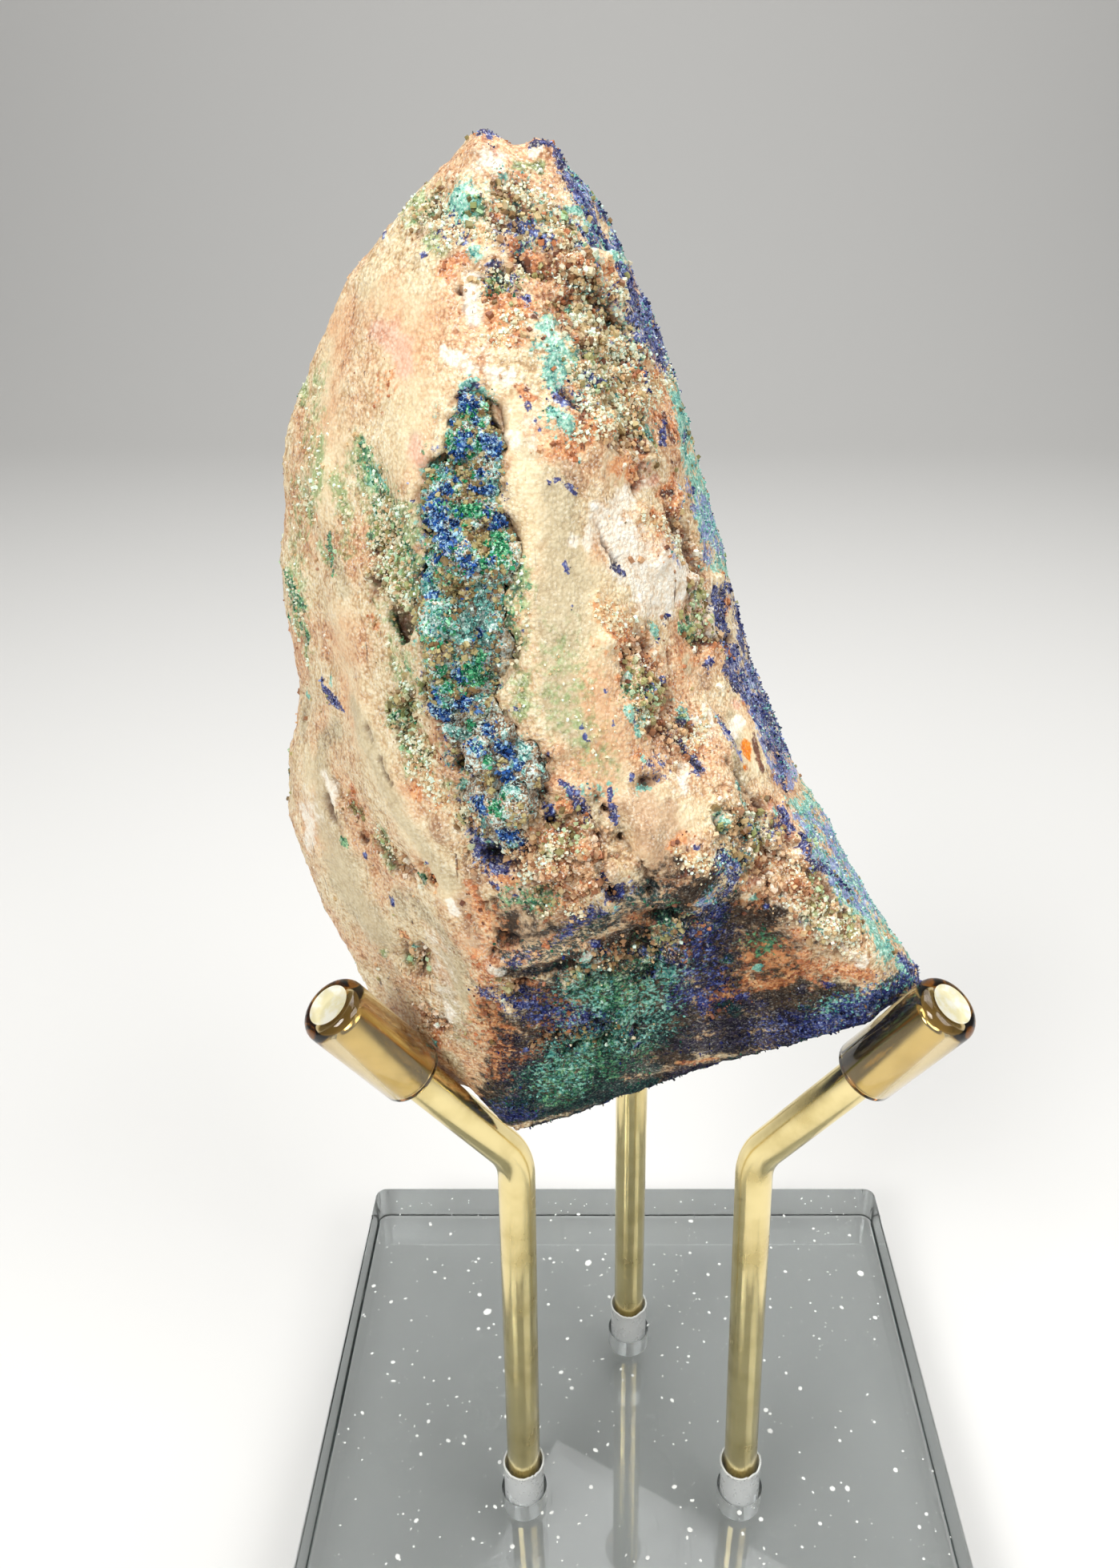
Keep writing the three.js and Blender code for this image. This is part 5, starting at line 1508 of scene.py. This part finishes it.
def sprinkled(name, kind, count, sizes, seed, skin, wanted, look, sink=0.25, dim=None, tinge=None):
    """One mesh with many grains, set on a skin where they are wanted."""
    generator = np.random.default_rng(seed)
    points = points_of(skin.data)
    corners = triangles_of(skin.data)
    a, b, c = (points[corners[:, i]] for i in range(3))
    cross = np.cross(b - a, c - a)
    area = np.linalg.norm(cross, axis=1)
    weight = area * wanted[corners].mean(axis=1) ** 2
    weight *= arm_gap(a) > CLEAR_OF_ARMS
    chosen = generator.choice(len(weight), size=count, p=weight / weight.sum())
    u, v = generator.random((2, count))
    flip = u + v > 1
    u[flip], v[flip] = 1 - u[flip], 1 - v[flip]
    spot = a[chosen] + u[:, None] * (b - a)[chosen] + v[:, None] * (c - a)[chosen]
    up = cross[chosen] / area[chosen, None] + GRAIN_TILT * generator.normal(size=(count, 3))
    up /= np.linalg.norm(up, axis=1)[:, None]
    side = np.cross(up, generator.normal(size=(count, 3)))
    side /= np.linalg.norm(side, axis=1)[:, None]
    turns = np.stack([side, np.cross(up, side), up], axis=2)
    size = size_drawn(generator, sizes, GRAIN_POWER, count) * MM
    shape, faces = grain_shape(kind)
    stretch = 1 + GRAIN_STRETCH * generator.uniform(-1, 1, (count, 1, 3))
    placed_points = np.einsum("nij,nkj->nki", turns, shape * stretch * size[:, None, None])
    placed_points += (spot + up * (size * (0.5 - sink))[:, None])[:, None, :]
    numbers = faces[None] + (np.arange(count) * len(shape))[:, None, None]
    mesh = bpy.data.meshes.new(name)
    mesh.from_pydata(placed_points.reshape(-1, 3).tolist(), [], numbers.reshape(-1, 3).tolist())
    tone = generator.random(count)
    # Where dim is given, grains are darkened by it; over the dark soil coat that is painted shade.
    if dim is not None:
        tone *= 1 - DIMMED * dim[corners[chosen, 0]]
    store(mesh, "tone", np.repeat(tone, len(shape)))
    if tinge is not None:
        store(mesh, "tinge", np.repeat(tinge[corners[chosen, 0]], len(shape)))
    mesh.materials.append(look)
    piece = added(name, mesh)
    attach(piece, "root")
    print(name, "grains:", count, "triangles:", len(mesh.polygons))
    return piece

# %% Grain materials
def grain_look(name, tones, roughness, tinge=(255, 255, 255)):
    """Material whose colour changes from grain to grain, with a tinge where the coat is green."""
    made, tree, shader = material(name, {"Roughness": roughness, "IOR": 1.5})
    dark, middle, light = (colour(*tone) for tone in tones)
    tone = stored(tree, "tone")
    look = mixed(ranged(tone, 0.0, 0.5), dark, middle)
    look = mixed(ranged(tone, 0.62, 0.95), look, light)
    within = noisy(place_on(tree), 0.3, 2)
    look = mixed(times(ranged(within, 0.5, 0.35), 0.4), look, dark)
    look = mixed(stored(tree, "tinge"), look, colour(*tinge), "MULTIPLY")
    tree.links.new(look, shader.inputs["Base Color"])
    return made


azurite_look = grain_look("azurite", ((8, 10, 36), (40, 50, 116), (150, 168, 222)), 0.18)
malachite_look = grain_look("malachite", ((8, 52, 42), (44, 124, 88), (160, 222, 166)), 0.25)
turquoise_look = grain_look(
    "blue_green_druse", ((56, 130, 130), (136, 202, 188), (232, 252, 242)), 0.25)
crumb_look = grain_look(
    "vein_crumbs", ((150, 100, 68), (224, 184, 140), (252, 244, 226)), 0.4, (176, 228, 190))
sugar_look = grain_look("sugar_crumbs", ((212, 176, 128), (236, 232, 202), (232, 255, 240)), 0.25)
pocket_blue_look = grain_look("pocket_azurite", ((8, 18, 58), (48, 98, 172), (180, 222, 246)), 0.16)
pocket_green_look = grain_look(
    "pocket_malachite_look", ((10, 70, 50), (48, 158, 104), (172, 240, 190)), 0.2)
rust_look = grain_look("iron_crumbs", ((104, 58, 36), (196, 124, 80), (242, 202, 152)), 0.5)

# %% Grains on the stone
green_near = np.clip(paint["olive"] + paint["turquoise"] + 0.7 * paint["malachite"], 0, 1)
mint_patches = 0.8 * risen(noise_at(stone_points, 5.0, 14), 0.1, 0.35) * (1 - paint["smooth"])
azure_spots = sprinkled(
    "azurite_grains", "blade", 14500, (0.1, 0.4), 11, stone,
    np.maximum(paint["azurite"] * (1 - 0.5 * paint["smooth"]), 0.6 * paint["violet_dark"]),
    azurite_look, dim=paint["soil_and_shade"])
green_spots = sprinkled(
    "malachite_grains", "druse", 10500, (0.1, 0.36), 12, stone,
    np.maximum(paint["malachite"], 0.5 * paint["deep_teal"]), malachite_look, dim=paint["soil_and_shade"])
pale_spots = sprinkled(
    "druse_grains", "druse", 13000, (0.1, 0.36), 13, stone,
    np.clip(paint["turquoise"] + 0.7 * paint["lilac"], 0, 1), turquoise_look, dim=0.6 * paint["soil_and_shade"])
crumb_spots = sprinkled(
    "vein_crumb_grains", "crumb", 13000, (0.12, 0.6), 14, stone,
    np.clip(paint["crumbly"] + 0.12 - paint["smooth"] * 0.5 - paint["deep_teal"], 0, 1), crumb_look,
    sink=0.45, dim=paint["soil_and_shade"], tinge=np.maximum(green_near, mint_patches))
rust_spots = sprinkled(
    "iron_crumb_grains", "crumb", 5000, (0.12, 0.5), 15, stone, paint["iron"], rust_look,
    sink=0.45, dim=paint["soil_and_shade"])
sugar_spots = sprinkled(
    "sugar_grains", "crumb", 8000, (0.12, 0.4), 16, stone,
    np.clip(paint["sugar"] + 0.5 * paint["olive"] + 0.15 * paint["crumbly"], 0, 1), sugar_look, sink=0.3)

# %% Crystals in the pocket
pocket_blue = sprinkled(
    "pocket_azurite", "blade", 4500, (0.15, 0.5), 21, crust,
    bare * np.clip(crust_paint["blue"] + upper * risen(-swirl, 0.05, 0.4) * 0.14, 0, 1), pocket_blue_look)
pocket_green = sprinkled(
    "pocket_malachite", "druse", 3500, (0.12, 0.46), 22, crust,
    bare * np.clip(crust_paint["green"] + upper * risen(swirl, 0.0, 0.4) * 0.3, 0, 1), pocket_green_look)
pocket_pale = sprinkled(
    "pocket_druse", "druse", 6000, (0.1, 0.4), 23, crust,
    bare * np.clip(crust_paint["pale"] + 0.2 + 0.3 * upper - 0.5 * crust_paint["brown"], 0, 1),
    turquoise_look)
crystals = np.maximum(crust_paint["blue"], np.maximum(crust_paint["green"], crust_paint["pale"]))
pocket_crumbs = sprinkled(
    "pocket_vein_crumbs", "crumb", 2500, (0.15, 0.5), 24, crust,
    bare * np.clip(crust_paint["brown"] + 0.5 * upper * (1 - crystals), 0, 1), crumb_look,
    sink=0.4, dim=0.4 * bare, tinge=0.6 * bare)

# %% [markdown]
# ## Rods
#
# Each arm is one round brass rod with a single bend. It starts as a circle, is drawn up, spun
# round the middle of the bend, and drawn on to the tip, which is how a rod bends in a jig. All
# three are made in the arm's own frame and then put in place.

# %% Rods
def rounded(bm, edges, offset, segments):
    """Rounds edges off."""
    bmesh.ops.bevel(bm, geom=edges, offset=offset, affect="EDGES", segments=segments, profile=0.5,
                    material=-1)


ROD_RADIUS = 2.2
ROD_SIDES = 40
ROD_IN_BASE = 5.0
ROD_EDGE = 0.3
BEND_RADIUS = 9.0
BEND_STEPS = 16
CAP_END = 1.6
GAP = 0.3


def piece_from(bm, name, place, looks, smooth_angle=40):
    """Closes a mesh into a named piece, with its place in the mesh."""
    bmesh.ops.transform(bm, matrix=place @ Matrix.Scale(MM, 4), verts=bm.verts)
    bmesh.ops.recalc_face_normals(bm, faces=bm.faces)
    mesh = bpy.data.meshes.new(name)
    bm.to_mesh(mesh)
    bm.free()
    for look in looks:
        mesh.materials.append(look)
    mesh.shade_smooth()
    mesh.set_sharp_from_angle(angle=math.radians(smooth_angle))
    piece = added(name, mesh)
    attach(piece, "root")
    return piece


def drawn_on(bm, ring, move):
    """Draws a ring of edges on by a distance, and gives back the new ring."""
    made = bmesh.ops.extrude_edge_only(bm, edges=ring)
    bmesh.ops.translate(bm, verts=points_in(made), vec=move)
    return [part for part in made["geom"] if isinstance(part, bmesh.types.BMEdge)
            and all(vert in made["geom"] for vert in part.verts) and part.is_boundary]


def rod(side):
    """One bent rod of brass."""
    bm = bmesh.new()
    bmesh.ops.create_circle(bm, cap_ends=False, segments=ROD_SIDES, radius=ROD_RADIUS)
    bmesh.ops.translate(bm, verts=bm.verts, vec=(0, 0, -ROD_IN_BASE))
    first = list(bm.edges)
    tangent = BEND_RADIUS * math.tan((math.pi / 2 - ARM_ELEVATION) / 2)
    ring = drawn_on(bm, first, (0, 0, ROD_IN_BASE + BEND_HEIGHT - tangent))
    verts = list({vert for edge in ring for vert in edge.verts})
    made = bmesh.ops.spin(
        bm, geom=verts + ring, cent=(BEND_RADIUS, 0, BEND_HEIGHT - tangent), axis=(0, 1, 0),
        angle=math.pi / 2 - ARM_ELEVATION, steps=BEND_STEPS)
    ring = [part for part in made["geom_last"] if isinstance(part, bmesh.types.BMEdge)]
    ring = drawn_on(bm, ring, ARM_DIRECTION * (ARM_LENGTH - CAP_END - GAP - tangent))
    ends = [bmesh.ops.contextual_create(bm, geom=edges)["faces"][0] for edges in (first, ring)]
    rims = [edge for face in ends for edge in face.edges]
    rounded(bm, rims, ROD_EDGE, 3)
    return piece_from(bm, "rod_" + side + "_brass", arm_frame(side), [brass])

# %% [markdown]
# Polished brass is a bright mirror with a warm tint. Handling leaves it a little dull in patches,
# and drawing leaves hair lines along it.

# %% Brass
brass, tree, shader = material("brass", {"Metallic": 1.0})
here = place_on(tree)
handled = noisy(here, 7, 4)
hair = noisy(stretched(here, (1, 1, 0.04)), 0.25, 3)
tint = mixed(ranged(handled, 0.4, 0.7), colour(240, 222, 164), colour(216, 196, 136))
tree.links.new(tint, shader.inputs["Base Color"])
rough = plus(ranged(handled, 0.35, 0.7, 0.12, 0.26), times(hair, 0.06))
tree.links.new(rough, shader.inputs["Roughness"])
bumped(shader, hair, 0.12, 0.03)

for side in ARMS:
    piece = rod(side)
    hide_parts("rod_" + side)
print("rods:", len(ARMS))

# %% [markdown]
# ## Caps
#
# Clear vinyl caps are dipped: a thick wall, a rounded closed end and a thin rim. A cylinder is
# made, its closed end is rounded with a bevel, and the open end is inset and pushed in for the
# bore. The closed end of the real caps has gone cloudy, so it gets a second material.

# %% Cap looks
def clear_plastic(name, tint, density, roughness, ior):
    """See-through plastic that takes its tint from its thickness."""
    made, tree, shader = material(name, {
        "Base Color": colour(255, 255, 255), "Transmission Weight": 1.0, "IOR": ior,
        "Roughness": roughness})
    inside = node(tree, "ShaderNodeVolumeAbsorption", {"Color": tint, "Density": density})
    tree.links.new(inside.outputs["Volume"], tree.nodes["Material Output"].inputs["Volume"])
    return made, tree, shader


vinyl, tree, shader = clear_plastic("clear_vinyl", colour(228, 208, 136), 420, 0.05, 1.5)
cloudy, tree, shader = material("cloudy_vinyl_end", {"Transmission Weight": 0.35, "Roughness": 0.28})
veil = noisy(place_on(tree), 1.6, 4)
tree.links.new(mixed(ranged(veil, 0.4, 0.6), colour(242, 234, 188), colour(255, 254, 238)),
               shader.inputs["Base Color"])

# %% Caps
CAP_LENGTH = 14.0
CAP_BORE = 2.24
CAP_ROUND = 1.3
CAP_SIDES = 64
CAP_RIM = 0.18
CAP_DISC_INSET = 0.35
CAP_DISC_DEPTH = 0.12


def cap(side):
    """One clear vinyl cap, its open end at the start of its own Z."""
    bm = bmesh.new()
    bmesh.ops.create_cone(bm, cap_ends=True, segments=CAP_SIDES, radius1=CAP_RADIUS,
                          radius2=CAP_RADIUS, depth=CAP_LENGTH)
    bmesh.ops.translate(bm, verts=bm.verts, vec=(0, 0, CAP_LENGTH / 2))
    closed = max(bm.faces, key=lambda face: face.calc_center_median().z)
    opened = min(bm.faces, key=lambda face: face.calc_center_median().z)
    bmesh.ops.inset_region(bm, faces=[opened], thickness=CAP_RADIUS - CAP_BORE)
    bore_end = bmesh.ops.extrude_discrete_faces(bm, faces=[opened])["faces"][0]
    bmesh.ops.translate(bm, verts=bore_end.verts, vec=(0, 0, CAP_LENGTH - CAP_END))
    rim = [edge for edge in bm.edges if all(vert.co.z < 0.01 for vert in edge.verts)
           and edge.calc_face_angle(0) > 1]
    rounded(bm, list(closed.edges), CAP_ROUND, 7)
    rounded(bm, rim, CAP_RIM, 2)
    end = max(bm.faces, key=lambda face: (round(face.calc_center_median().z, 3), face.calc_area()))
    disc = bmesh.ops.inset_region(bm, faces=[end], thickness=CAP_DISC_INSET, depth=-CAP_DISC_DEPTH)
    end.material_index = 1
    for face in disc["faces"]:
        face.material_index = 1
    start = ARM_CORNER + ARM_DIRECTION * (ARM_LENGTH - CAP_LENGTH)
    place = arm_frame(side) @ Matrix.Translation(start * MM)
    place = place @ Matrix.Rotation(math.pi / 2 - ARM_ELEVATION, 4, "Y")
    return piece_from(bm, "cap_" + side + "_vinyl", place, [vinyl, cloudy])


for side in ARMS:
    piece = cap(side)
    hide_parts("cap_" + side)
print("caps:", len(ARMS))

# %% [markdown]
# ## Sleeves
#
# A thin plastic tube holds each rod tight in its hole. It was cut with a knife, so its top edge is
# ragged and a little flared. A circle is drawn up in rings, the top ring is moved up and down
# point by point, and the sheet then gets its thickness.

# %% Sleeves
SLEEVE_RADIUS = 2.7
SLEEVE_FLARE = 2.82
SLEEVE_WALL = 0.24
SLEEVE_STANDS = 5.35
SLEEVE_FLARE_STARTS = 3.9
SLEEVE_SIDES = 60
SLEEVE_RAGGED = 0.5

sleeve_plastic, tree, shader = material("sleeve_plastic", {
    "Base Color": colour(246, 248, 246), "Transmission Weight": 0.3, "IOR": 1.45})
worn = noisy(place_on(tree), 1.1, 3)
tree.links.new(ranged(worn, 0.35, 0.65, 0.25, 0.5), shader.inputs["Roughness"])


def sleeve(side, seed):
    """One knife-cut tube round the foot of a rod."""
    generator = np.random.default_rng(seed)
    bm = bmesh.new()
    bmesh.ops.create_circle(bm, cap_ends=False, segments=SLEEVE_SIDES, radius=SLEEVE_RADIUS)
    bmesh.ops.translate(bm, verts=bm.verts, vec=(0, 0, -ROD_IN_BASE))
    ring = drawn_on(bm, list(bm.edges), (0, 0, ROD_IN_BASE))
    ring = drawn_on(bm, ring, (0, 0, SLEEVE_FLARE_STARTS))
    for _ in range(2):
        ring = drawn_on(bm, ring, (0, 0, (SLEEVE_STANDS - SLEEVE_FLARE_STARTS) / 2))
    top = list({vert for edge in ring for vert in edge.verts})
    wide = SLEEVE_FLARE / SLEEVE_RADIUS
    bmesh.ops.scale(bm, verts=top, vec=(wide, wide, 1))
    for vert in sorted(top, key=lambda vert: math.atan2(vert.co.y, vert.co.x)):
        angle = math.atan2(vert.co.y, vert.co.x)
        wave = noise.noise(Vector((math.cos(angle), math.sin(angle), seed)) * 1.7)
        vert.co.z += SLEEVE_RAGGED * (wave * 0.8 + 0.25 * generator.uniform(-1, 1))
        vert.co.z = min(vert.co.z, SLEEVE_STANDS + GAP)
    bmesh.ops.recalc_face_normals(bm, faces=bm.faces)
    bmesh.ops.solidify(bm, geom=bm.faces[:], thickness=SLEEVE_WALL)
    return piece_from(bm, "sleeve_" + side + "_tube", arm_frame(side), [sleeve_plastic], 50)


for seed, side in enumerate(ARMS):
    piece = sleeve(side, 31 + seed)
    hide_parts("sleeve_" + side)
print("sleeves:", len(ARMS))

# %% [markdown]
# ## Base
#
# The slab is cast acrylic with polished sides and softened edges. A cube gets rounded corners and
# a fine bevel all round, and a boolean with three pegs drills the blind holes that the rods
# stand in. Real thickness and real holes matter in clear material, because light bends at each
# face. The sawn sides are a little less polished than the top.

# %% Acrylic
SIDE_ROUGHNESS = 0.15
acrylic, tree, shader = clear_plastic("clear_acrylic", colour(178, 188, 188), 36, 0.0, 1.49)
here = place_on(tree)
smear = noisy(here, 14, 5, 0.62)
scratch = noisy(stretched(here, (1, 0.05, 1), (0, 0, math.radians(28))), 0.35, 2)
rough = larger(ranged(smear, 0.52, 0.72, 0.02, 0.16),
              ranged(scratch, 0.66, 0.72, 0.0, 0.22))
outward = node(tree, "ShaderNodeTexCoord").outputs["Normal"]
level = node(tree, "ShaderNodeSeparateXYZ", {"Vector": outward}).outputs["Z"]
sides = ranged(maths("ABSOLUTE", level), 0.9, 0.3, 0.0, SIDE_ROUGHNESS)
tree.links.new(larger(rough, sides), shader.inputs["Roughness"])

# %% Slab
BASE_SIDE = 88.9
BASE_CORNER = 1.8
BASE_EDGE = 0.45
HOLE_RADIUS = 3.1
HOLE_DEPTH = 5.3
HOLE_SIDES = 48

bm = bmesh.new()
bmesh.ops.create_cube(bm, size=1)
bmesh.ops.scale(bm, verts=bm.verts, vec=(BASE_SIDE, BASE_SIDE, BASE_THICKNESS))
bmesh.ops.translate(bm, verts=bm.verts, vec=(0, 0, BASE_THICKNESS / 2))
upright = [edge for edge in bm.edges if abs(edge.verts[0].co.z - edge.verts[1].co.z) > 1]
rounded(bm, upright, BASE_CORNER, 6)
level = [edge for edge in bm.edges if abs(edge.verts[0].co.z - edge.verts[1].co.z) < 0.01]
rounded(bm, level, BASE_EDGE, 3)
slab = piece_from(bm, "base_slab", Matrix.Identity(4), [acrylic], 20)

bm = bmesh.new()
for side in ARMS:
    made = bmesh.ops.create_cone(bm, cap_ends=True, segments=HOLE_SIDES, radius1=HOLE_RADIUS,
                                 radius2=HOLE_RADIUS, depth=2 * HOLE_DEPTH)
    foot = arm_frame(side).translation / MM
    bmesh.ops.translate(bm, verts=made["verts"], vec=foot)
pegs = piece_from(bm, "hole_pegs", Matrix.Identity(4), [acrylic])
drill = slab.modifiers.new("holes", "BOOLEAN")
drill.operation = "DIFFERENCE"
drill.solver = "EXACT"
drill.object = pegs
keep_modified(slab)
slab.data.shade_flat()
bpy.data.objects.remove(pegs)
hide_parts("base")
print("slab faces:", len(slab.data.polygons))

# %% [markdown]
# ## Dust on the slab
#
# White flecks lie on the slab, most of them tiny. They are low, rough grains, scattered evenly by a
# seeded generator. The largest crumbs lie where the picture shows them.

# %% Dust
DUST_COUNT = 1200
DUST_SIZES = (0.16, 0.8)
DUST_POWER = 2.4
DUST_HEIGHT = 0.2
DUST_MARGIN = 2
# The largest crumbs: across and down in the picture, and their size
CRUMBS = ((735, 1578, 1.5), (609, 1639, 1.3), (1075, 1591, 1.3), (962, 1788, 0.9), (491, 1702, 0.8),
          (744, 1812, 0.9), (560, 1800, 0.8), (886, 1640, 0.7), (1040, 1860, 0.9), (520, 1900, 0.8))
dust_look, _, _ = material("white_dust", {"Base Color": colour(244, 244, 240), "Roughness": 0.8})
generator = np.random.default_rng(41)
bm = bmesh.new()
half = BASE_SIDE / 2 - DUST_MARGIN
spots = []
for _ in range(DUST_COUNT):
    size = size_drawn(generator, DUST_SIZES, DUST_POWER)
    spots.append((*generator.uniform(-half, half, 2), size))
for across, down, size in CRUMBS:
    ray = sight_line(across, down)
    place = CAMERA_PLACE + ray * (BASE_THICKNESS * MM - CAMERA_PLACE.z) / ray.z
    spots.append((place.x / MM, place.y / MM, size))
for x, y, size in spots:
    made = bmesh.ops.create_icosphere(bm, subdivisions=1, radius=0.5)
    squash = (size * generator.uniform(0.5, 1.3), size, min(size, 1) * DUST_HEIGHT * 2)
    bmesh.ops.scale(bm, verts=made["verts"], vec=squash)
    turn = Matrix.Rotation(generator.uniform(0, math.pi), 3, "Z")
    bmesh.ops.rotate(bm, verts=made["verts"], matrix=turn)
    bmesh.ops.translate(bm, verts=made["verts"], vec=(x, y, BASE_THICKNESS))
dust = piece_from(bm, "slab_dust", Matrix.Identity(4), [dust_look])
print("flecks:", len(spots))
